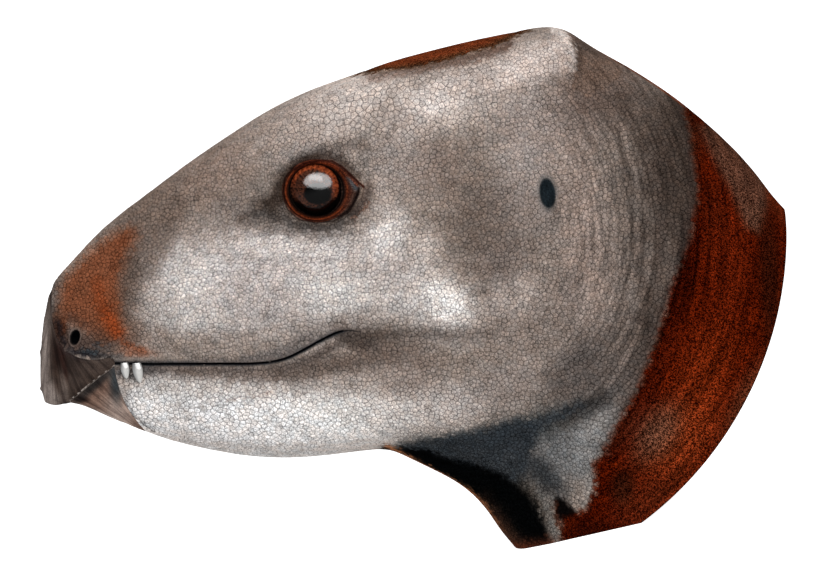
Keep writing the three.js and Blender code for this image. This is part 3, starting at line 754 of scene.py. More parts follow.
# The rust of the skull's top darkens towards its lower edge, a painted shade line.
roof_tint, roof_edge_shade = (112, 54, 30), (-44, -10, -2)
nape_tint = (112, 60, 40)
throat_tint, throat_cover = (140, 88, 60), 0.8


def laid(points, x, z, reach, slant):
    """How much of a soft coat lies at each point of the side view."""
    along, across = points[:, 0] - x, points[:, 2] - z
    c, s = cos(radians(slant)), sin(radians(slant))
    far = ((along * c + across * s) / reach[0]) ** 2 + ((across * c - along * s) / reach[1]) ** 2
    return np.exp(-far ** 1.5)


def ramp(value, low, high):
    """0 up to low and 1 from high on, smooth between."""
    way = np.clip((value - low) / (high - low), 0, 1)
    return way * way * (3 - 2 * way)


def coated(points, colour, layers):
    for _, (x, z), reach, slant, cover, tint in layers:
        share = (laid(points, x, z, reach, slant) * cover)[:, None]
        colour = colour + share * (np.array(tint) - colour)
    return colour


def filled(points, colour, outlines):
    for _, soft, cover, tint, outline in outlines:
        share = (ramp(-outside_outline(points, outline), -soft, soft) * cover)[:, None]
        colour = colour + share * (np.array(tint) - colour)
    return colour


def drawn(points, colour, lines):
    for _, width, start_cover, end_cover, tint, line in lines:
        gap, along = to_line(points, line)
        cover = start_cover + (end_cover - start_cover) * along
        share = (np.exp(-(gap / width) ** 2) * cover)[:, None]
        colour = colour + share * (np.array(tint) - colour)
    return colour


def round_neck(points):
    """Distance from the middle of the round cut, and the angle there."""
    across, up = points[:, 0] - sweep_centre[0], points[:, 2] - sweep_centre[1]
    return np.hypot(across, up), np.arctan2(up, across)


def redness(points):
    """1 on the red band of the neck, 0 off it."""
    return ramp(-outside_outline(points, red_outline), -1.6, 1.4)


def roofness(points):
    """1 on the rust top of the skull between its ridges, 0 off it."""
    return ramp(-outside_outline(points, roof_outline), -0.5, 0.8)


def painted(points):
    """Colour of the skin at each point, its painted shade and highlights too, 0 to 255."""
    x, y, z = points.T
    colour = coated(points, np.full((len(points), 3), bare_tint), coats)
    colour = drawn(points, filled(points, colour, areas), strokes)
    roof = roofness(points)[:, None]
    lower_roof = ramp(outside_outline(points, roof_outline), -2.2, -0.2)[:, None]
    rust = np.array(roof_tint) + lower_roof * np.array(roof_edge_shade)
    colour += roof * (rust - colour)
    red = redness(points)[:, None]
    band = filled(points, coated(points, np.full((len(points), 3), band_tint), red_coats), red_areas)
    colour += red * (band - colour)
    nape_half = np.interp(x, [160, 200], [3, 12])
    nape_line = ramp(x, 160, 172) * (1 - red[:, 0]) * ramp(nape_half - np.abs(y), 0, 4) * (z > 40)
    colour += nape_line[:, None] * (np.array(nape_tint) - colour)
    throat_line = ramp(x, 104, 110) * ramp(-np.abs(y), -6, -3) * (z < -20)
    colour += throat_line[:, None] * (np.array(throat_tint) - colour) * throat_cover
    return np.clip(colour, 0, 255)


# The eyeballs: dark wet globes with an orange-brown iris round a wide black pupil, each in its
# socket behind the lids. The cornea stands a little proud of the globe.
eye_radius = 9.3
eye_yaw = radians(6)
eye_rows, eye_columns = 64, 96
eye_cover = radians(105)         # how far round from its front each globe is made
cornea_rise = 0.25
cornea_reach = radians(34)


def eye_frame(side):
    """Middle of the eyeball, and its ways back, up and out."""
    middle = np.array([eye_at[0], side * abs(eye_middle[1]), eye_at[1]])
    back = np.array([cos(eye_yaw), side * sin(eye_yaw), 0])
    return middle, back, np.array([0.0, 0, 1]), np.array([-sin(eye_yaw), side * cos(eye_yaw), 0])


wet = Finish("wet_eye", 0.11, Specular_IOR_Level=0.5)
spot = wet.field("disc")
eye_u, eye_v, _ = wet.parts(spot)


def how_far(middle, reach):
    """Distance from the middle of an oval, 1 on its edge."""
    away = wet.vector_math("SUBTRACT", spot, (*middle, 0))
    away = wet.vector_math("MULTIPLY", away, (1 / reach[0], 1 / reach[1], 0))
    return wet.node("ShaderNodeVectorMath", away, operation="LENGTH").outputs["Value"]


# The iris is flecked and streaked out from its middle, warmer in its upper rim and black below
across_iris = how_far((-0.2, 0.2), (7.3, 7.0))
across_low_iris = how_far((0.1, -1.5), (5.2, 4.1))
across_pupil = how_far((1.1, -1.5), (4.1, 3.2))
flecks = wet.noise(spot, 1.5, 4.0, 0.65)
outward = wet.vector_math("NORMALIZE", wet.vector_math("SUBTRACT", spot, (-0.2, 0.3, 0)))
fibres = wet.noise(outward, 8.0, 3.0)
uneven = wet.math("ADD", wet.math("MULTIPLY", flecks, 1.5), wet.math("MULTIPLY", fibres, 0.8))
iris = wet.mix(wet.step(uneven, 0.85, 1.45), solid_colour(30, 17, 13), solid_colour(98, 56, 40))
warm = wet.mix(wet.step(uneven, 0.9, 1.45), solid_colour(84, 32, 16), solid_colour(188, 90, 50))
upper = wet.step(wet.math("ADD", eye_v, wet.math("MULTIPLY", eye_u, 0.25)), -2.2, 2.6)
iris = wet.mix(wet.math("MULTIPLY", wet.step(across_iris, 0.72, 0.86), upper), iris, warm)
lower = wet.math("MULTIPLY", wet.step(eye_v, -2.0, -4.6), wet.step(across_low_iris, 0.9, 1.08))
iris = wet.mix(lower, iris, solid_colour(9, 7, 7))
globe = wet.mix(wet.step(across_iris, 0.95, 1.04), iris, solid_colour(10, 7, 7))
wet.colour(wet.mix(wet.step(across_pupil, 1.14, 0.86), globe, solid_colour(3, 3, 4)))
wet.bump(wet.noise(spot, 1.3, 3.0, 0.7), 0.00004)

for side, side_name in ((-1, "left"), (1, "right")):
    eye_origin, eye_back, eye_up, eye_out = eye_frame(side)
    tilt = np.linspace(0, eye_cover, eye_rows)[:, None]
    around = np.arange(eye_columns) * 2 * pi / eye_columns
    eye_reach = eye_radius + cornea_rise * np.exp(-(tilt / cornea_reach) ** 4)
    ball_u = eye_reach * np.sin(tilt) * np.cos(around)
    ball_v = eye_reach * np.sin(tilt) * np.sin(around)
    ball_h = eye_reach * np.cos(tilt) * np.ones(eye_columns)
    ball = eye_origin + np.stack([ball_u, ball_v, ball_h], axis=2).reshape(-1, 3) @ np.stack(
        [eye_back, eye_up, eye_out])
    faces = flipped_to(ball, sheet(eye_rows, eye_columns, closed=True), eye_out)
    disc = np.stack([ball_u, ball_v, 0 * ball_u], axis=2).reshape(-1, 3)
    piece(f"{side_name}_eye", ball, faces, wet.material, [f"{side_name}_eyeball"], {"disc": disc})


# Skin: one finish for all of it. Its colour comes from the markings, darker in the creases between
# the scales as painted shade, with fine mottling, long streaks down the neck and a grainy speckle on
# the red.
def skin_finish():
    skin = Finish("scaly_skin", 0.7, Specular_IOR_Level=0.0)
    place = skin.place()
    crease, streak, grain = skin.parts(skin.field("texture"))
    # Soft blotches, a pencil-fine grain, and patches that are a little warmer or cooler
    blotches = skin.swing(skin.noise(place, 240.0, 3.0, 0.55), 0.9)
    grains = skin.swing(skin.noise(place, 2200.0, 1.0, 0.6), 2.2)
    colour = skin.scaled(skin.field("tint"), skin.math("ADD", 1.0, skin.math("ADD", blotches, grains)))
    warmth = skin.mix(skin.step(skin.noise(place, 330.0, 2.0, 0.6), 0.34, 0.66),
                      (0.97, 1.0, 1.025, 1), (1.03, 0.995, 0.972, 1))
    colour = skin.times(colour, warmth)
    # Streaks along the flow of the skin
    lines = skin.math("MULTIPLY", skin.swing(skin.noise(skin.field("flow"), 1.0, 3.0, 0.6), 3.3), streak)
    colour = skin.scaled(colour, skin.math("ADD", 1.0, lines))
    # Dark and bright specks where the scales are worn
    speckle = skin.math("ADD", skin.noise(place, 1500.0, 2.0, 0.7), skin.noise(place, 3000.0, 1.0, 0.6))
    speckle = skin.mix(skin.step(speckle, 0.86, 1.18), (0.1, 0.03, 0.0, 1), (2.4, 2.3, 2.1, 1))
    colour = skin.mix(skin.math("MULTIPLY", grain, 0.9), colour, skin.times(colour, speckle))
    # Darker creases, painted shade, fainter in places
    faint = skin.step(skin.noise(place, 450.0, 2.0, 0.6), 0.36, 0.6)
    depth = skin.math("ADD", 0.45, skin.math("MULTIPLY", faint, 0.55))
    crease = skin.math("MULTIPLY", skin.step(crease, 0.15, 0.9), depth)
    skin.colour(skin.mix(crease, colour, skin.times(colour, (0.34, 0.335, 0.35, 1))))
    skin.bump(skin.noise(place, 2600.0, 2.0, 0.6), 0.00008)
    return skin.material


skin_material = skin_finish()
face_flow, neck_flow = (0.12, 0.8), (0.6, 3.2)   # how fine the streaks are, across and along
flow_turns = (142, 152)          # from the face's flow, straight back, to the neck's, round its cut
sides_apart = 7                  # so that left and right are streaked each in its own way


def wear(points):
    """How far the scales are worn down to a grain: 1 on the red of the neck and the skull's top."""
    throat = laid(points, 134, -38, (26, 12), -35)
    return np.clip(redness(points) + roofness(points) + 0.6 * throat, 0, 1)


def skin_fields(points, crease, tint=None, grain=None):
    """What the skin's finish reads at each point: colour, crease, streaks, grain and their flow."""
    radius, angle = round_neck(points)
    grain = wear(points) if grain is None else grain
    on_neck = laid(points, 178, 40, (28, 70), 0)
    streak = np.clip(0.15 + 0.7 * on_neck + 0.5 * grain, 0, 0.95)
    on_face = points[:, [0, 2]] * face_flow
    round_it = np.stack([radius, angle], axis=1) * neck_flow
    turning = ramp(points[:, 0], *flow_turns)[:, None]
    flow = np.column_stack([on_face + turning * (round_it - on_face), np.sign(points[:, 1]) * sides_apart])
    colour = linear(painted(points) if tint is None else tint)
    return {"tint": colour, "texture": np.stack([crease * np.ones(len(points)), streak, grain], axis=1),
            "flow": flow}


# The eyelids: bare wrinkled rolls of rust-brown skin round each eye, grown with the skin round them
# and drawn out to a corner behind it.
lid_middle = (83.3, 52.3)
lid_opening = (7.85, 7.7)
lid_angles = np.radians([-180, -150, -120, -90, -55, -39, -22, -6, 5, 14, 23, 47, 73, 102, 130, 158, 180])
lid_edge = [10, 9.6, 9.2, 9.1, 9.8, 10.5, 11.2, 12.4, 13.4, 12.6, 11.6, 10.2, 9.4, 9.4, 9.6, 9.9, 10]
# Rings from the eye outwards: 0 at the opening and 1 at the crease round the lid, and height
lid_rings = [
    (-0.12, -0.9), (-0.05, -0.25), (0.0, 0.05), (0.05, 0.22), (0.12, 0.3), (0.2, 0.3), (0.28, 0.36),
    (0.38, 0.5), (0.48, 0.58), (0.58, 0.6), (0.68, 0.54), (0.78, 0.42), (0.86, 0.3), (0.93, 0.1),
    (1.0, -0.08), (1.07, 0.04), (1.15, 0.17), (1.24, 0.22), (1.33, 0.14), (1.4, 0.02), (1.48, 0.08),
    (1.56, 0.1), (1.64, -0.02), (1.75, -0.4),
]
lid_columns = 264
lid_bed = 5.7                    # the lids' edge above the middle of the eyeball
lid_skin = (60, 42, 36)          # the bare skin of the lids, under what is drawn on it


def oval(half_width, half_height):
    turn = np.linspace(-pi, pi, 60)
    return np.stack([half_width * np.cos(turn), half_height * np.sin(turn)], axis=1) + lid_middle


lid_strokes = [
    ("black edge", 0.45, 1.0, 1.0, (8, 6, 6), oval(8.15, 7.8)),
    ("rust roll", 0.5, 0.95, 0.95, (112, 48, 24), oval(9.15, 8.4)),
    ("fine crease", 0.14, 0.7, 0.7, (38, 16, 11), oval(8.75, 8.1)),
    ("outer crease", 0.2, 0.9, 0.9, (30, 14, 11), oval(9.7, 8.85)),
    ("outer rust", 0.18, 0.8, 0.8, (92, 38, 22), oval(10.05, 9.15)),
    ("brown of the corner", 1.0, 0.5, 0.75, (78, 44, 33), [(92.6, 56), (93.4, 52), (92, 48.2)]),
    ("grey of the corner", 0.8, 0.95, 0.95, (76, 82, 88), [(93, 56.2), (94.1, 54.4), (95, 53.2)]),
    ("black arc", 0.42, 1.0, 0.8, (12, 8, 8), [
        (95.9, 53), (95.3, 51), (94.3, 48.6), (92.6, 46.4), (90, 44.6)]),
    ("rust over the fold", 0.3, 0.7, 0.8, (112, 50, 30), [
        (84, 60.9), (88, 60.2), (91.2, 58.2), (93.6, 56), (95.4, 54)]),
    ("fold", 0.4, 0.9, 1.0, (44, 17, 11), [
        (76.9, 58.5), (79.9, 60.4), (84.3, 61.3), (87.9, 61.2), (90.9, 59.4), (93.2, 57.3), (95.6, 55),
        (97.4, 53.5)]),
    ("crease round the lid", 0.25, 0.7, 0.8, (22, 13, 11), [
        (96, 52), (93.2, 46.4), (88.6, 43.5), (83.3, 42.7), (78, 43.8), (74.6, 46.8), (73.2, 51.4),
        (73.9, 56), (77, 60)]),
]
lid_crease_width = 2.2           # how far the rings beyond the crease reach, for each 1 of theirs
corner_rounding = np.radians([-9, -4.5, 0, 4.5, 9])
well_outside = 80.0              # further to the side than any part of the head
openings = []                    # what is set in the skin: the room outside it, for skin and scales


def add_opening(outside, *margins):
    openings.append([lambda points, margin=margin: outside(points, margin) for margin in margins])


def skin_beside(x, z, side):
    """The side of the head at places of the side view, and the ways out of it there."""
    starts = np.stack([x, np.full(len(x), side * well_outside), z], axis=1)
    return skin_from(starts, (0, -side, 0))


def half_turn(angle):
    return (angle + pi) % (2 * pi) - pi


def lid_radius(ring, angle):
    """How far a ring of the lid is from the middle of its opening, at an angle from straight back."""
    inner = np.hypot(lid_opening[0] * np.cos(angle), lid_opening[1] * np.sin(angle))
    turns = [half_turn(angle + off) for off in corner_rounding]
    outer = np.mean([np.interp(turn, lid_angles, lid_edge) for turn in turns], axis=0)
    return inner + np.minimum(ring, 1) * (outer - inner) + np.maximum(ring - 1, 0) * lid_crease_width


def outside_lids(points, ring):
    u, v = points[:, 0] - lid_middle[0], points[:, 2] - lid_middle[1]
    return np.hypot(u, v) - lid_radius(np.full(len(points), ring), np.arctan2(v, u))


add_opening(outside_lids, 1.25, 1.62)
ring_radii = np.array([ring[0] for ring in lid_rings])[:, None]
lid_angle = np.arange(lid_columns) * 2 * pi / lid_columns
wrinkle = 1 + 0.3 * np.sin(lid_angle * 9 + 7 * ring_radii) + 0.2 * np.sin(lid_angle * 31 - 13 * ring_radii)
for side, side_name in ((-1, "left"), (1, "right")):
    eye_origin, eye_back, eye_up, eye_out = eye_frame(side)
    reach = lid_radius(ring_radii, lid_angle)
    lid_x, lid_z = lid_middle[0] + reach * np.cos(lid_angle), lid_middle[1] + reach * np.sin(lid_angle)
    bed, _ = skin_beside(lid_x.ravel(), lid_z.ravel(), side)
    eye_bed = eye_origin + lid_bed * eye_out
    eye_bed_y = eye_bed[1] - ((bed - eye_bed) * [1, 0, 1]) @ eye_out / eye_out[1]
    blend = np.repeat(ramp(ring_radii.ravel(), 0.0, 0.75), lid_columns)
    bed[:, 1] = eye_bed_y + blend * (bed[:, 1] - eye_bed_y)
    stand = np.repeat([ring[1] for ring in lid_rings], lid_columns) * wrinkle.ravel()
    lids = bed + stand[:, None] * eye_out
    faces = flipped_to(lids, sheet(len(lid_rings), lid_columns, closed=True), eye_out)
    lid_tint = painted(lids)
    bare_lid = np.repeat(ramp(-ring_radii.ravel(), -1.08, -0.92), lid_columns)[:, None]
    lid_tint += 0.92 * bare_lid * (np.array(lid_skin) - lid_tint)
    lid_tint = drawn(lids, lid_tint, lid_strokes)
    piece(f"{side_name}_eyelids", lids, faces, skin_material, ["head"],
          skin_fields(lids, 0.0, lid_tint, np.full(len(lids), 0.4)))


# Nostrils and ear openings: soft-edged holes, each with a low rolled rim that is part of the skin.
# The holes are shallow and their insides painted dark, a painted shade of the deep opening.
# Rings from the outside in: share of the hole's size, height over the skin in millimetres at a relief
# of 1, and how dark its painted shade is
hole_rings = [
    (2.1, -0.4, 0), (1.85, -0.05, 0), (1.6, 0.12, 0), (1.38, 0.2, 0.05), (1.2, 0.16, 0.2), (1.06, 0.02, 0.55),
    (0.95, -0.35, 0.85), (0.84, -0.9, 1), (0.7, -1.5, 1), (0.45, -2.0, 1), (0.02, -2.2, 1),
]
relief_ends = 1.7                # rings further out than this keep their height whatever the relief
hole_columns = 72
# Each hole: where, half its width and height, its slant, how wide its rim is, its relief, the colour
# of its rim and of its inside, which is painted shade
holes = [
    ("nostril", (10.8, 7.6), (1.4, 2.2), -14, 0.62, 1.0, (150, 134, 124), (7, 8, 10)),
    ("ear", (151.7, 51.9), (2.3, 4.3), 7, 0.45, 0.35, (84, 86, 88), (26, 33, 37)),
]


def outside_hole(points, at, size, slant, share):
    along, across = points[:, 0] - at[0], points[:, 2] - at[1]
    c, s = cos(radians(slant)), sin(radians(slant))
    far = np.hypot((along * c + across * s) / size[0], (across * c - along * s) / size[1])
    return (far - share) * min(size)


for hole_name, hole_at, hole_size, hole_slant, rim_spread, relief, rim_tint, inside_shade in holes:
    rings = np.array(hole_rings)
    rings[:, 0] = np.where(rings[:, 0] > 1, 1 + (rings[:, 0] - 1) * rim_spread, rings[:, 0])
    hole = (hole_at, hole_size, hole_slant)
    add_opening(lambda points, share, hole=hole: outside_hole(points, *hole, share), rings[2, 0], rings[1, 0])
    ring_share, ring_height, ring_shade = (np.repeat(part, hole_columns) for part in rings.T)
    turn = np.tile(np.arange(hole_columns) * 2 * pi / hole_columns, len(rings))
    hole_u, hole_v = hole_size[0] * np.cos(turn) * ring_share, hole_size[1] * np.sin(turn) * ring_share
    c, s = cos(radians(hole_slant)), sin(radians(hole_slant))
    hole_x, hole_z = hole_at[0] + hole_u * c - hole_v * s, hole_at[1] + hole_u * s + hole_v * c
    for side, side_name in ((-1, "left"), (1, "right")):
        on_form, form_out = skin_beside(hole_x, hole_z, side)
        outer_ring, hole_out = on_form[:hole_columns], form_out[:hole_columns].mean(0)
        hole_out /= np.linalg.norm(hole_out)
        bed = np.stack([hole_x, np.full(len(hole_x), outer_ring[:, 1].mean()), hole_z], axis=1)
        bed[:, 1] += (outer_ring.mean(0) - bed) @ hole_out / hole_out[1]
        bed[:, 1] += ramp(ring_share, 0.8, 1.25) * (on_form[:, 1] - bed[:, 1])
        rise = ring_height * np.where(ring_share < relief_ends, relief, 1)
        rim = bed + rise[:, None] * hole_out
        faces = flipped_to(rim, sheet(len(rings), hole_columns, closed=True), hole_out)
        pale = 0.3 * np.exp(-((ring_share - 1.2) / 0.14) ** 2)[:, None]
        rim_colour = painted(rim)
        rim_colour += pale * (np.array(rim_tint) - rim_colour)
        # The inside of the hole is painted dark: painted shade.
        rim_colour += ring_shade[:, None] * (np.array(inside_shade) - rim_colour)
        piece(f"{side_name}_{hole_name}_rim", rim, faces, skin_material, ["head"],
              skin_fields(rim, 0.0, rim_colour))


# The lips: smooth bare edges of skin that meet in a dark line, from behind the teeth to the corner
# of the mouth; the dark of the line is painted shade in the crease between them. Points of the line
# are distance back and height.
mouth_line = np.array([
    [21.6, 0.0], [26, -0.15], [31, -0.15], [38, 0.0], [47, 0.2], [56, 0.4], [64, 0.6], [69, 1.1], [72, 1.7],
    [75, 2.7], [78, 4.2], [81, 5.9], [84, 7.6], [87, 9.2], [90, 10.5], [93, 11.0], [96, 10.6]])
# Across the lips, from the upper one down: distance above the line, height over the skin, colour
# and how much of that colour there is
# The colours darken to near black at the line: painted shade.
lip_section = [
    (1.35, -0.3, (150, 138, 130), 0.0), (1.1, -0.02, (150, 138, 130), 0.1),
    (0.85, 0.08, (150, 138, 130), 0.1), (0.62, 0.1, (140, 128, 120), 0.1),
    (0.45, 0.05, (98, 92, 91), 0.35), (0.3, -0.1, (40, 42, 46), 0.8),
    (0.18, -0.5, (14, 16, 18), 1.0), (0.1, -1.1, (10, 11, 13), 1.0),
    (-0.1, -1.1, (10, 11, 13), 1.0), (-0.2, -0.6, (14, 16, 18), 1.0),
    (-0.34, -0.15, (24, 26, 30), 0.95), (-0.52, 0.0, (48, 48, 50), 0.8),
    (-0.72, 0.04, (70, 66, 64), 0.4), (-0.95, -0.02, (90, 84, 80), 0.2),
    (-1.2, -0.3, (110, 100, 94), 0.0),
]
front_lip = 1.3                  # how much wider the upper lip is where it hangs behind the beak
lip_stations = 240


def along_line(line, count):
    """Evenly spaced points of a smooth curve through the points of a line."""
    chord = np.r_[0, np.cumsum(np.hypot(*np.diff(line, axis=0).T))]
    slope = np.gradient(line, chord, axis=0)
    at = np.linspace(0, chord[-1], count)
    span = np.clip(np.searchsorted(chord, at, side="right") - 1, 0, len(line) - 2)
    width = np.diff(chord)[span][:, None]
    t = (at - chord[span])[:, None] / width
    return ((2 * t ** 3 - 3 * t ** 2 + 1) * line[span] + (t ** 3 - 2 * t ** 2 + t) * width * slope[span]
            + (3 * t ** 2 - 2 * t ** 3) * line[span + 1] + (t ** 3 - t ** 2) * width * slope[span + 1])


mouth = along_line(mouth_line, lip_stations)
along_mouth = np.arange(lip_stations) / lip_stations
lip_taper = ramp(-along_mouth, -0.995, -0.90) * 0.85 + 0.15
upper_taper = lip_taper * (1 + front_lip * ramp(-mouth[:, 0], -50, -36))


def outside_lips(points, width):
    near = np.full(len(points), far_off)
    close = (points[:, 0] > 15) & (points[:, 0] < 106) & (points[:, 2] > -6) & (points[:, 2] < 18)
    gaps = np.hypot(points[close, :1] - mouth[:, 0], points[close, 2:] - mouth[:, 1])
    taper = np.where(points[close, 2:] > mouth[:, 1], upper_taper, lip_taper)
    near[close] = (gaps - width * taper).min(1)
    return near


add_opening(outside_lips, 0.6, 0.9)
over, lip_rise, lip_colour, lip_cover = (np.array(part) for part in zip(*lip_section))
spread_over = over[:, None] * np.where(over[:, None] > 0.3, upper_taper, lip_taper)
next_stations = np.stack([np.arange(lip_stations - 1), np.arange(1, lip_stations)], axis=1)
for side, side_name in ((-1, "left"), (1, "right")):
    lip_bed, lip_out = skin_beside(*mouth.T, side)
    lip_out = spread_smooth(lip_out, next_stations, 6, 0.5)
    lip_up = np.cross(np.gradient(lip_bed, axis=0), lip_out) * side
    lip_up /= np.linalg.norm(lip_up, axis=1, keepdims=True)
    lips = lip_bed + spread_over[..., None] * lip_up
    for row in np.flatnonzero(np.abs(over) > 0.9):
        lips[row] = on_skin(lips[row])[0]
    lips = (lips + (lip_rise[:, None] * lip_taper)[..., None] * lip_out).reshape(-1, 3)
    faces = flipped_to(lips, sheet(len(lip_section), lip_stations), (0, side, 0))
    lip_tint = painted(lips)
    cover = np.repeat(lip_cover, lip_stations)[:, None]
    lip_tint += cover * (np.repeat(lip_colour, lip_stations, axis=0) - lip_tint)
    piece(f"{side_name}_lips", lips, faces, skin_material, ["head"], skin_fields(lips, 0.0, lip_tint))


# The beaks: sheaths of horn that grow on the tips of the jaws, finely ridged from the nostril to the
# cutting rim. Their back edges lie on the skin, and the lower one closes inside the upper.
horn_grain = 2                   # times that the form's faces are halved
horn_thickness = 1.1             # under the skin's surface
horn_rise = 0.16                 # over it, where the horn is at its fullest
horn_edge = 0.05                 # and at its edge
ridge_from = (3.2, 13)           # where the ridges of the upper beak fan out from
chin_from = (34.8, -24.0)        # and those of the lower one
ridge_count = 14.0
ridge_height = 0.055
beak_reach = 40                  # the beaks end nearer than this to the tip


def curve(start, control, end, count=14):
    t = np.linspace(0, 1, count)[:, None]
    return (1 - t) ** 2 * np.array(start) + 2 * t * (1 - t) * np.array(control) + t * t * np.array(end)


upper_outline = np.concatenate([
    [(-6, 24), (3.4, 24), (3.6, 14)], curve((3.6, 14), (4.2, 6), (9.2, 2.6)),
    curve((9.2, 2.6), (15, -0.6), (22.4, 2.0)), curve((22.8, -0.6), (16, -5.6), (9.4, -11.6)),
    [(8.8, -16), (-6, -16)]])
lower_outline = np.concatenate([
    curve((9.4, -11.9), (16, -5.9), (22.6, -1.1)), curve((22.6, -1.1), (23.6, -9), (27.6, -15.4)),
    [(33.2, -23.4), (33.2, -27), (9.4, -27)]])


def outside_beaks(points, room):
    far = np.full(len(points), far_off)
    close = points[:, 0] < beak_reach + 2
    far[close] = np.minimum(outside_outline(points[close], upper_outline),
                            outside_outline(points[close], lower_outline)) - room
    return far


add_opening(outside_beaks, -0.9, 0.05)


def rim_edges(faces):
    """The edges that only one face has, as they run round it."""
    runs = np.concatenate([faces[:, [0, 1]], faces[:, [1, 2]], faces[:, [2, 0]]])
    _, first, uses = np.unique(np.sort(runs, axis=1), axis=0, return_index=True, return_counts=True)
    return runs[first[uses == 1]]


def horn_finish(name):
    horn = Finish(name, 0.42, Specular_IOR_Level=0.03)
    place = horn.place()
    fan, far, rim = horn.parts(horn.field("growth"))
    # Streaks that fan out along the growth of the horn, with dark flecks and a fine grain
    drawn_out = horn.node("ShaderNodeCombineXYZ", fan, horn.math("MULTIPLY", far, 0.05), 0.0).outputs[0]
    lines = horn.step(horn.noise(drawn_out, 1.0, 4.0, 0.65), 0.34, 0.66)
    tint = horn.field("tint")
    colour = horn.mix(lines, horn.times(tint, (0.5, 0.46, 0.46, 1)), horn.times(tint, (1.45, 1.42, 1.4, 1)))
    flecks = horn.math("MULTIPLY", horn.step(horn.noise(place, 420.0, 3.0, 0.6), 0.45, 0.75), 0.35)
    colour = horn.mix(flecks, colour, (0.01, 0.008, 0.008, 1))
    grains = horn.swing(horn.noise(place, 2600.0, 3.0, 0.8), 1.6)
    colour = horn.scaled(colour, horn.math("ADD", 1.0, grains))
    # The cutting rim has broken pale dashes, a painted highlight on its edge
    dash_breaks = horn.step(horn.noise(place, 900.0, 1.0), 0.42, 0.6)
    rim_highlight_dashes = horn.math("MULTIPLY", horn.step(rim, 0.55, 1.0), dash_breaks)
    horn.colour(horn.mix(rim_highlight_dashes, colour, solid_colour(176, 164, 156)))
    horn.bump(lines, 0.00006)
    return horn.material


upper_coats = [
    ("front strip", (1.4, 1), (2.0, 20), -2, 1.0, (150, 139, 133)),
    ("tip", (3.6, -10), (3.4, 5), -10, 0.95, (158, 147, 141)),
    ("dark streaks", (6.6, 3), (2.6, 8.5), 2, 0.97, (36, 22, 18)),
    ("foot of them", (6, -5.4), (1.6, 4.4), 0, 0.8, (58, 44, 37)),
    ("pale streak", (7.4, -7), (1.3, 5), 10, 0.7, (122, 110, 103)),
    ("red streak", (7.5, 0), (0.7, 5), 10, 0.7, (50, 20, 13)),
    ("brown", (10.8, 0), (3.8, 4.6), 20, 0.8, (44, 35, 31)),
    ("low brown", (10.6, -6), (2.6, 2.6), 30, 0.6, (88, 76, 70)),
    ("rear", (17, -1.2), (6, 2.4), 8, 0.7, (80, 68, 62)),
    # Painted shadow line along the top of the beak, under the nostril.
    ("shadow line under the nostril", (10, 2.6), (3.6, 1.0), -28, 0.95, (28, 16, 15)),
]
lower_coats = [
    ("front corner", (12.4, -11), (2.4, 1.2), 0, 0.9, (40, 22, 16)),
    ("pale chin", (24, -14.6), (6, 4), -50, 0.8, (188, 170, 160)),
    ("bottom edge", (19, -16.6), (10, 1.5), -22, 0.9, (188, 174, 166)),
    ("shadow under the rim", (16.6, -6.4), (10, 1.7), 42, 0.95, (46, 43, 42)),
    ("shadow behind", (23.2, -5.4), (2.2, 6.4), 2, 0.97, (48, 54, 58)),
]
# Each beak: outline, where its ridges come from, colour, coats, how high it stands over the skin, and
# how much of the painted highlight on its rim it has
beaks = [
    ("upper", upper_outline, ridge_from, (64, 53, 47), upper_coats, 1.0, 1.0),
    ("lower", lower_outline, chin_from, (132, 105, 91), lower_coats, 0.35, 0.0),
]
tip_faces, tip_points = trimmed(under_skin_points, under_skin_faces, beak_reach - under_skin_points[:, 0])
tip = modified(new_mesh("tip", tip_points, tip_faces), "SUBSURF", levels=horn_grain)
tip_points, tip_faces = read_mesh(tip)
for beak_name, outline, fan_from, base_tint, beak_coats, rise_share, rim_highlight_amount in beaks:
    faces, horn = trimmed(tip_points, tip_faces, -outside_outline(tip_points, outline))
    count = len(horn)
    horn_out = normals_of(horn, faces)
    to_edge = -outside_outline(horn, outline)
    from_fan = horn[:, [0, 2]] - fan_from
    fan = np.arctan2(from_fan[:, 1], from_fan[:, 0]) * ridge_count
    ridges = 0.6 * np.sin(fan * 3.1 + 2 * np.sin(fan)) + 0.4 * np.sin(fan * 7)
    relief = horn_rise * rise_share * ramp(to_edge, 0, 0.9) + ridge_height * ridges * ramp(to_edge, 0.2, 1.2)
    outer = horn + horn_out * (relief + horn_edge)[:, None]
    inner = horn - horn_out * horn_thickness
    start, end = rim_edges(faces).T
    walls = np.concatenate([np.stack([end, start, start + count], axis=1),
                            np.stack([end, start + count, end + count], axis=1)])
    tint = coated(horn, np.full((count, 3), base_tint, dtype=float), beak_coats)
    rim_lie = np.interp(horn[:, 0], [9, 16, 22.6], [-11.6, -5.9, -0.8])
    # Where the painted highlight of the cutting rim lies.
    painted_rim_highlight = ramp(rim_lie - horn[:, 2], -1.1, -0.1) * (horn[:, 0] > 9) * rim_highlight_amount
    growth = np.stack([fan, np.hypot(*from_fan.T), painted_rim_highlight], axis=1)
    # The inside of the horn takes 0.4 of its colour, painted shade under the rim.
    piece(f"{beak_name}_horn", np.concatenate([outer, inner]),
          np.concatenate([faces, faces[:, ::-1] + count, walls]), horn_finish(f"{beak_name}_horn"),
          [f"{beak_name}_beak"],
          {"tint": linear(np.concatenate([tint, tint * 0.4])),
           "growth": np.concatenate([growth, growth * [1, 1, 0]])})


# The teeth: two small pegs of white enamel on each side, set in the upper jaw behind the beak and
# hanging over the lower lip. They are greyer to the front and at the root and dark along their front
# and back edges, all painted shade.
tooth_rows, tooth_columns = 26, 32
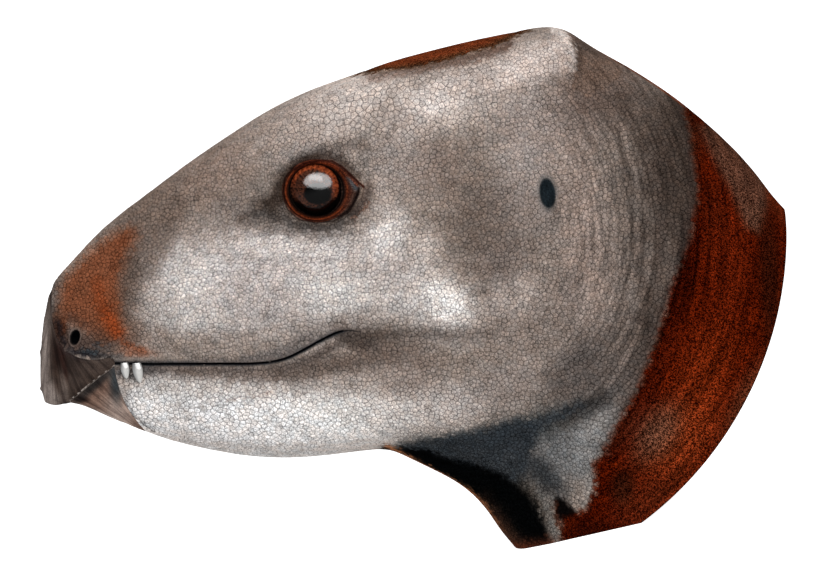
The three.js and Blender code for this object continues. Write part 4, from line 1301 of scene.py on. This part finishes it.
# From the tip of a tooth to its root: share of its length, and of its half width
tooth_profile = np.array([
    [-0.02, 0.0], [0.04, 0.34], [0.12, 0.56], [0.28, 0.8], [0.48, 0.97], [0.68, 1.02], [0.84, 0.94],
    [1.0, 0.8]])
lip_height = 0.15                # where the roots go in over the lip
set_back = 0.4                   # how far each tooth stands behind the middle of its solid
tooth_bow = 0.25
enamel = Finish("enamel", 0.22, Coat_Weight=0.5, Coat_Roughness=0.08, IOR=1.6)
along_tooth, round_tooth, _ = enamel.parts(enamel.field("tooth"))
root = enamel.step(along_tooth, 0.5, 0.95)
front_shade = enamel.step(round_tooth, 0.0, 0.8)
white = enamel.mix(enamel.noise(enamel.place(), 1800.0, 3.0),
                   solid_colour(222, 220, 216), solid_colour(243, 242, 239))
# Painted shade: greyer to the front and at the root.
white = enamel.mix(enamel.math("MULTIPLY", front_shade, 0.75), white, solid_colour(148, 148, 150))
white = enamel.mix(enamel.math("MULTIPLY", root, 0.5), white, solid_colour(120, 116, 114))
# Painted shade along the front and back edges of the tooth.
tooth_edge_shade = enamel.step(enamel.math("ABSOLUTE", round_tooth), 0.8, 0.98)
enamel.colour(enamel.mix(enamel.math("MULTIPLY", tooth_edge_shade, 0.85), white, solid_colour(34, 38, 42)))
for side_name in ("left", "right"):
    for tooth_name, lean in (("front_tooth", 4), ("rear_tooth", 7)):
        node = f"{side_name}_{tooth_name}"
        solid_points = to_head(read_mesh(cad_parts[node].data)[0])
        tooth_axis = np.array([sin(radians(-lean)), 0, cos(radians(lean))])
        tooth_back = np.array([cos(radians(lean)), 0, sin(radians(lean))])
        centre = solid_points.mean(0) + [set_back, 0, 0]
        tip = centre + tooth_axis * ((solid_points - centre) @ tooth_axis).min()
        length = (lip_height - tip[2]) / tooth_axis[2]
        half_width = np.ptp((solid_points - centre) @ tooth_back) * 0.48
        half_thick = np.ptp(solid_points[:, 1]) / 2
        rows = np.linspace(tooth_profile[0, 0], 1, tooth_rows)[:, None]
        swell = np.interp(rows, tooth_profile[:, 0], tooth_profile[:, 1])
        around = np.arange(tooth_columns) * 2 * pi / tooth_columns
        bow = tooth_bow * (1 - rows) ** 2
        peg = (tip + tooth_axis * (rows * length)[..., None]
               + tooth_back * (half_width * swell * np.cos(around) + bow)[..., None]
               + np.array([0, 1, 0]) * (half_thick * swell * np.sin(around))[..., None]).reshape(-1, 3)
        faces = sheet(tooth_rows, tooth_columns, closed=True)
        a, b, c = (peg[faces[:, k]] for k in range(3))
        if (np.cross(b - a, c - a) * (a - peg.mean(0))).sum() < 0:
            faces = faces[:, ::-1]
        tooth_field = np.stack([rows * np.ones(tooth_columns), -np.cos(around) * np.ones((tooth_rows, 1)),
                                np.zeros((tooth_rows, tooth_columns))], axis=2).reshape(-1, 3)
        piece(f"{node}_enamel", peg, faces, enamel.material, [node], {"tooth": tooth_field})


# The under-skin shows dark in the creases, a little below the scales: the dark is painted shade. On
# the red of the neck and the rust of the skull's top the skin is worn to a grain, with no scales. The
# neck's two cuts, a straight one and a round one, are plain brown flesh.
crease_depth = 0.1
worn_overlap = 1.6               # how far the grainy skin runs on under the scales beside it
cut_rows, cut_columns = 70, 25
for_skin, for_scales = 0, 1      # which of an opening's two margins is kept clear


def room_for(kind, points):
    return np.min([opening[kind](points) for opening in openings], axis=0)


def neck_room(points):
    return np.minimum(base_room(points), sweep_room(points))


def worn_room(points):
    """How far a point is outside the grainy skin of the neck's band and the skull's top."""
    return np.minimum(outside_outline(points, red_outline) + 1.6, outside_outline(points, roof_outline) + 0.7)


def cut_to(points, faces, normals, *rooms):
    for room in rooms:
        faces, points, normals = trimmed(points, faces, room(points), normals)
    return points, faces, normals


under_skin_out = normals_of(under_skin_points, under_skin_faces)
neck_cut = cut_to(under_skin_points, under_skin_faces, under_skin_out, base_room, sweep_room)


def cut_face(room, unroll, roll, run_on, other_room):
    """One end of the neck, as strips between the two halves of its edge, as far as the other cut."""
    points, faces, _ = neck_cut
    rim = rim_edges(faces)
    on_cut = np.abs(room(points[rim].reshape(-1, 3))).reshape(-1, 2).max(1) < 0.01
    flat = unroll(points[np.unique(rim[on_cut])])
    flat = flat[np.argsort(flat[:, 0])]
    along = np.linspace(flat[0, 0] - run_on[0], flat[-1, 0] + run_on[1], cut_rows)
    left, right = (np.interp(along, *flat[half].T) for half in (flat[:, 1] < 0, flat[:, 1] >= 0))
    across = np.linspace(left, right, cut_columns, axis=1)
    points = roll(np.stack([np.repeat(along, cut_columns), across.ravel()], axis=1))
    quads = sheet(cut_rows, cut_columns)
    faces = np.concatenate([quads[:, [0, 1, 2]], quads[:, [0, 2, 3]]])
    return trimmed(points, faces, other_room(points))


cut_flesh = Finish("cut_flesh", 0.85, IOR=1.4)
fibre = cut_flesh.noise(cut_flesh.place(), 160.0, 4.0, 0.6)
cut_flesh.colour(cut_flesh.mix(fibre, solid_colour(52, 30, 24), solid_colour(78, 46, 36)))
cut_flesh.bump(cut_flesh.noise(cut_flesh.place(), 700.0, 3.0, 0.6), 0.0002)
base_along = base_run / np.linalg.norm(base_run)


def base_unroll(points):
    return np.stack([(points[:, [0, 2]] - neck_base_front) @ base_along, points[:, 1]], axis=1)


def base_roll(flat):
    spot = neck_base_front + flat[:, :1] * base_along
    return np.stack([spot[:, 0], flat[:, 1], spot[:, 1]], axis=1)


def sweep_unroll(points):
    return np.stack([round_neck(points)[1] * sweep_radius, points[:, 1]], axis=1)


def sweep_roll(flat):
    angle = flat[:, 0] / sweep_radius
    radius = sweep_radius - sweep_drop(angle, flat[:, 1])
    return np.stack([sweep_centre[0] + radius * np.cos(angle), flat[:, 1],
                     sweep_centre[1] + radius * np.sin(angle)], axis=1)


for cut_name, room, unroll, roll, run_on, other_room, outward in (
        ("neck_base_cut", base_room, base_unroll, base_roll, (0, past_the_cut), sweep_room, base_normal),
        ("neck_end_cut", sweep_room, sweep_unroll, sweep_roll, (past_the_cut, 0), base_room, neck_leads)):
    faces, cut = cut_face(room, unroll, roll, run_on, other_room)
    piece(cut_name, cut, flipped_to(cut, faces, outward), cut_flesh.material, ["head"])

sunk, faces, skin_out = cut_to(*neck_cut, lambda points: room_for(for_skin, points),
                               lambda points: worn_room(points) + worn_overlap)
sunk = sunk - skin_out * crease_depth * ramp(neck_room(sunk), 0.0, 0.6)[:, None]
piece("skin_between_scales", sunk, faces, skin_material, ["head"], skin_fields(sunk, 1.0))
grainy, faces, skin_out = cut_to(flesh_points, flesh_faces, flesh_normals,
                                 lambda points: worn_overlap - worn_room(points), base_room, sweep_room)
grainy = grainy - skin_out * crease_depth * ramp(worn_room(grainy), -0.9, 0.0)[:, None]
piece("grainy_skin", grainy, faces, skin_material, ["head"], skin_fields(grainy, 0.0))


# The scales: small many-sided plates that fill the skin edge to edge, each a low hump. They are
# larger on the forehead, finer on the snout and round the eye, and drawn out on the cheek and neck.
# How wide the scales are: middle of the patch, its reach and slant, and the width in millimetres
scale_sizes = [
    ("forehead", (92, 77), (22, 10), 22, 2.5), ("ridge", (118, 80), (14, 8), 16, 2.1),
    ("cheek", (58, 25), (28, 14), 0, 1.55), ("temple", (128, 56), (20, 20), 0, 1.65),
    ("jaw", (70, -15), (46, 11), 0, 1.75), ("snout", (16, 24), (12, 20), -20, 1.45),
    ("round the eye", (83.4, 53), (20, 15), 0, 1.25), ("throat", (132, -36), (28, 12), -30, 1.5),
    ("lip", (58, 2), (42, 3), 0, 1.35),
]
common_size = 1.7
# How long and how slanted the scales are: middle, reach, slant of the patch, length to width, slant
scale_shapes = [
    ("front cheek", (44, 36), (16, 10), 40, 1.6, 40), ("upper cheek", (64, 35), (22, 8), 0, 2.4, 36),
    ("behind the ear", (172, 38), (16, 44), 0, 1.3, 84), ("under the eye", (90, 33), (14, 7), 14, 1.75, 38),
    ("bar", (104, 36), (8, 10), -30, 1.5, 54), ("lower temple", (132, 26), (12, 10), 0, 1.25, 50),
    ("jaw", (70, -12), (46, 14), 0, 1.15, 12),
]
tries_per_scale = 9
seed_spacing = 0.58              # least distance between two scales' middles, of their width
settling_rounds = 3
longest_step = 0.8               # that a scale moves in one round
edge_margin = 0.12               # no scale's middle is nearer than this to an edge of the skin
scale_gap = 0.02
smallest_area, largest_area = 0.12, 8
most_corners = 14
shoulder = 0.8                   # how far out the flat top of a scale reaches
scale_rise = 0.062               # of a scale's width
lowest_rise, highest_rise = 0.05, 0.2
colour_spread = 0.35             # how far off a scale's own colour may come from
tone_spread = 0.035
brim_crease = 0.12               # how dark the brim is, where the crease is 1
pale_scales = 1.09               # how much paler than their place unworn scales are
rim_sink = 0.03                  # how far a scale's rim lies under the form at least
brim_rise = 0.55                 # of the height of its middle
worn_flatness = 0.6              # how much lower scales are where they are worn
worn_faintness = 0.85            # and how much fainter their creases
neighbours = 12
straight_out = 0.93              # a slant so near to straight out of the skin gives no way along it
face_ends = 138                  # behind this the scales are the neck's
random = np.random.default_rng(7)


def scale_size(points):
    size = np.full(len(points), common_size)
    for _, (x, z), reach, slant, wanted in scale_sizes:
        size += laid(points, x, z, reach, slant) * (wanted - size)
    return size


def tangents(points, normals):
    """Two ways along the skin, the first of them along the scales, and how drawn out they are."""
    stretch = np.ones(len(points))
    slant = np.zeros(len(points))
    for _, (x, z), reach, patch_slant, longer, lie in scale_shapes:
        share = laid(points, x, z, reach, patch_slant)
        stretch += share * (longer - stretch)
        slant += share * (radians(lie) - slant)
    along = np.stack([np.cos(slant), np.zeros(len(points)), np.sin(slant)], axis=1)
    along[np.abs((along * normals).sum(1)) > straight_out] = (0, 1, 0)
    along -= normals * (along * normals).sum(1)[:, None]
    along /= np.linalg.norm(along, axis=1)[:, None]
    return along, np.cross(normals, along), np.sqrt(stretch)


def nearest_others(points):
    tree = KDTree(len(points))
    for index, point in enumerate(points.tolist()):
        tree.insert(point, index)
    tree.balance()
    return np.array([[hit[1] for hit in tree.find_n(point, neighbours + 1)[1:]] for point in points.tolist()])


skin_edges = [base_room, sweep_room, lambda points: room_for(for_scales, points)]
pair_one, pair_two = np.triu_indices(neighbours + len(skin_edges), 1)
slope_step = 0.05
edge_reach = 6                   # an edge of the skin further off than this doesn't shape a scale
no_edge = 50.0
sorted_last = 10.0               # greater than any angle
batch = 3000                     # scales worked out at a time, to spare memory


def plates(seeds, normals):
    """The corners of each scale in its own plane, in order round it, and how many there are."""
    along, across, stretch = tangents(seeds, normals)
    away = seeds[nearest_others(seeds)] - seeds[:, None]
    flat = np.stack([(away * along[:, None]).sum(2) / stretch[:, None],
                     (away * across[:, None]).sum(2) * stretch[:, None]], axis=2)
    length = np.maximum(np.linalg.norm(flat, axis=2), 1e-6)
    ways = [flat / length[..., None]]
    rooms = [length / 2 - scale_gap / 2]
    for room in skin_edges:
        here = room(seeds)
        slope = np.stack([(room(seeds + along * slope_step) - here) / slope_step * stretch,
                          (room(seeds + across * slope_step) - here) / slope_step / stretch], axis=1)
        steep = np.linalg.norm(slope, axis=1)
        near = (steep > 1e-3) & (here < edge_reach)
        steep = np.maximum(steep, 1e-9)
        ways.append(np.where(near[:, None], -slope / steep[:, None], (1.0, 0.0))[:, None])
        rooms.append(np.where(near, here / steep, no_edge)[:, None])
    ways, rooms = np.concatenate(ways, axis=1), np.concatenate(rooms, axis=1)
    corners = np.zeros((len(seeds), most_corners, 2))
    counts = np.zeros(len(seeds), dtype=int)
    for start in range(0, len(seeds), batch):
        part = slice(start, start + batch)
        n1, n2 = ways[part][:, pair_one], ways[part][:, pair_two]
        d1, d2 = rooms[part][:, pair_one], rooms[part][:, pair_two]
        cross = n1[..., 0] * n2[..., 1] - n1[..., 1] * n2[..., 0]
        safe = np.where(np.abs(cross) < 1e-5, 1.0, cross)
        meet = np.stack([(d1 * n2[..., 1] - d2 * n1[..., 1]) / safe,
                         (d2 * n1[..., 0] - d1 * n2[..., 0]) / safe], axis=2)
        over = np.einsum("npi,nki->npk", meet, ways[part]) - rooms[part][:, None]
        good = (over < 1e-7).all(2) & (np.abs(cross) >= 1e-5)
        turn = np.where(good, np.arctan2(meet[..., 1], meet[..., 0]), sorted_last)
        order = np.argsort(turn, axis=1)[:, :most_corners]
        corners[part] = np.take_along_axis(meet, order[..., None], axis=1)
        counts[part] = np.minimum(good.sum(1), most_corners)
    corners *= np.stack([stretch, 1 / stretch], axis=1)[:, None]
    return corners, counts, along, across


def middles(corners, counts):
    """Area and middle of each plate."""
    index = np.arange(corners.shape[1])
    held = index < counts[:, None]
    following = np.where(index + 1 < counts[:, None], index + 1, 0)
    after = np.take_along_axis(corners, following[..., None], axis=1)
    doubled = np.where(held, corners[..., 0] * after[..., 1] - corners[..., 1] * after[..., 0], 0)
    area = doubled.sum(1) / 2
    middle = ((corners + after) * doubled[..., None]).sum(1) / (6 * np.maximum(area, 1e-6))[:, None]
    return area, middle


def scattered():
    """Places for the scales' middles: darts thrown at the skin, none too near to one before it."""
    triangle = flesh_points[flesh_faces]
    one, two = triangle[:, 1] - triangle[:, 0], triangle[:, 2] - triangle[:, 0]
    middle = triangle.mean(1)
    open_skin = (room_for(for_scales, middle) > -1) & (neck_room(middle) > -1) & (worn_room(middle) > -1)
    area = np.linalg.norm(np.cross(one, two), axis=1) / 2
    crowd = np.where(open_skin, area / scale_size(middle) ** 2, 0)
    tries = int(crowd.sum() * tries_per_scale)
    chosen = random.choice(len(flesh_faces), tries, p=crowd / crowd.sum())
    u, v = random.random((2, tries))
    u, v = np.where(u + v > 1, 1 - u, u)[:, None], np.where(u + v > 1, 1 - v, v)[:, None]
    darts = triangle[chosen, 0] + u * one[chosen] + v * two[chosen]
    room = scale_size(darts) * seed_spacing * random.uniform(0.84, 1.2, tries)
    tree = KDTree(tries)
    for index, dart in enumerate(darts.tolist()):
        tree.insert(dart, index)
    tree.balance()
    free = np.ones(tries, dtype=bool)
    kept = []
    for index, dart in enumerate(darts.tolist()):
        if free[index]:
            kept.append(index)
            for _, other, _ in tree.find_range(dart, room[index]):
                free[other] = False
    return darts[kept]


def off_the_edges(seeds):
    return seeds[(room_for(for_scales, seeds) > edge_margin) & (neck_room(seeds) > edge_margin)]


seeds = off_the_edges(scattered())
seeds = seeds[worn_room(seeds) > -1.5]
for _ in range(settling_rounds):
    seeds, normals = on_skin(seeds)
    corners, counts, along, across = plates(seeds, normals)
    step = np.clip(middles(corners, counts)[1], -longest_step, longest_step)
    seeds = off_the_edges(seeds + step[:, :1] * along + step[:, 1:] * across)
seeds, normals = on_skin(seeds)
corners, counts, along, across = plates(seeds, normals)
area, middle = middles(corners, counts)
sound = (counts >= 3) & (area > smallest_area) & (area < largest_area) & (worn_room(seeds) > 0)
seeds, corners, counts, along, across, area, middle = (
    part[sound] for part in (seeds, corners, counts, along, across, area, middle))
seeds, normals = on_skin(seeds + middle[:, :1] * along + middle[:, 1:] * across)
corners = corners - middle[:, None]

rise = np.clip(scale_rise * np.sqrt(area), lowest_rise, highest_rise) * (1 - worn_flatness * wear(seeds))
nudge = colour_spread * random.standard_normal((len(seeds), 3)) * [1, 0, 1]
tone = 1 + tone_spread * random.standard_normal(len(seeds))


def humps(these, sides):
    """The points of scales that have so many sides: rim, brim and peak of each."""
    middle, flat = seeds[these, None], corners[these, :sides]
    edge = middle + flat[..., :1] * along[these, None] + flat[..., 1:] * across[these, None]
    edge, edge_out = (part.reshape(-1, sides, 3) for part in on_skin(edge.reshape(-1, 3)))
    at_cut = ramp(neck_room(edge.reshape(-1, 3)), 0.02, 0.4).reshape(-1, sides, 1)
    rim = edge - edge_out * (rim_sink + crease_depth * at_cut)
    brim = middle + shoulder * (edge - middle) + edge_out * rise[these, None, None] * brim_rise
    peak = middle + (normals[these] * rise[these, None])[:, None]
    return np.concatenate([rim, brim, peak], axis=1).reshape(-1, 3)


def hump_faces(first, sides):
    """The faces of scales whose points start at these places."""
    rim = np.arange(sides)
    beside, brim = (rim + 1) % sides, rim + sides
    peak = np.full(sides, 2 * sides)
    walls = ((rim, beside, beside + sides), (rim, beside + sides, brim), (brim, beside + sides, peak))
    return [(first[:, None, None] + np.stack(wall, axis=1)).reshape(-1, 3) for wall in walls]


for side, side_name in ((-1, "left"), (1, "right")):
    for region, in_region in (("face", seeds[:, 0] < face_ends), ("neck", seeds[:, 0] >= face_ends)):
        points, faces, tones, creases, nudges = [], [], [], [], []
        total = 0
        for sides in range(3, most_corners + 1):
            these = np.flatnonzero(in_region & (np.sign(seeds[:, 1] + 1e-9) == side) & (counts == sides))
            if not len(these):
                continue
            each = 2 * sides + 1
            points.append(humps(these, sides))
            faces += hump_faces(total + np.arange(len(these)) * each, sides)
            tones.append(np.repeat(tone[these], each))
            nudges.append(np.repeat(nudge[these], each, axis=0))
            creases.append(np.tile(np.r_[np.ones(sides), np.full(sides, brim_crease), 0], len(these)))
            total += len(these) * each
        points, faces = np.concatenate(points), np.concatenate(faces)
        worn = wear(points)
        lighter = np.concatenate(tones) * (pale_scales + (1 - pale_scales) * worn)
        colours = painted(points + np.concatenate(nudges)) * lighter[:, None]
        crease = np.concatenate(creases) * (1 - worn_faintness * worn)
        fields = skin_fields(points, crease, colours, worn)
        piece(f"{side_name}_{region}_scales", points, faces, skin_material, ["head"], fields)
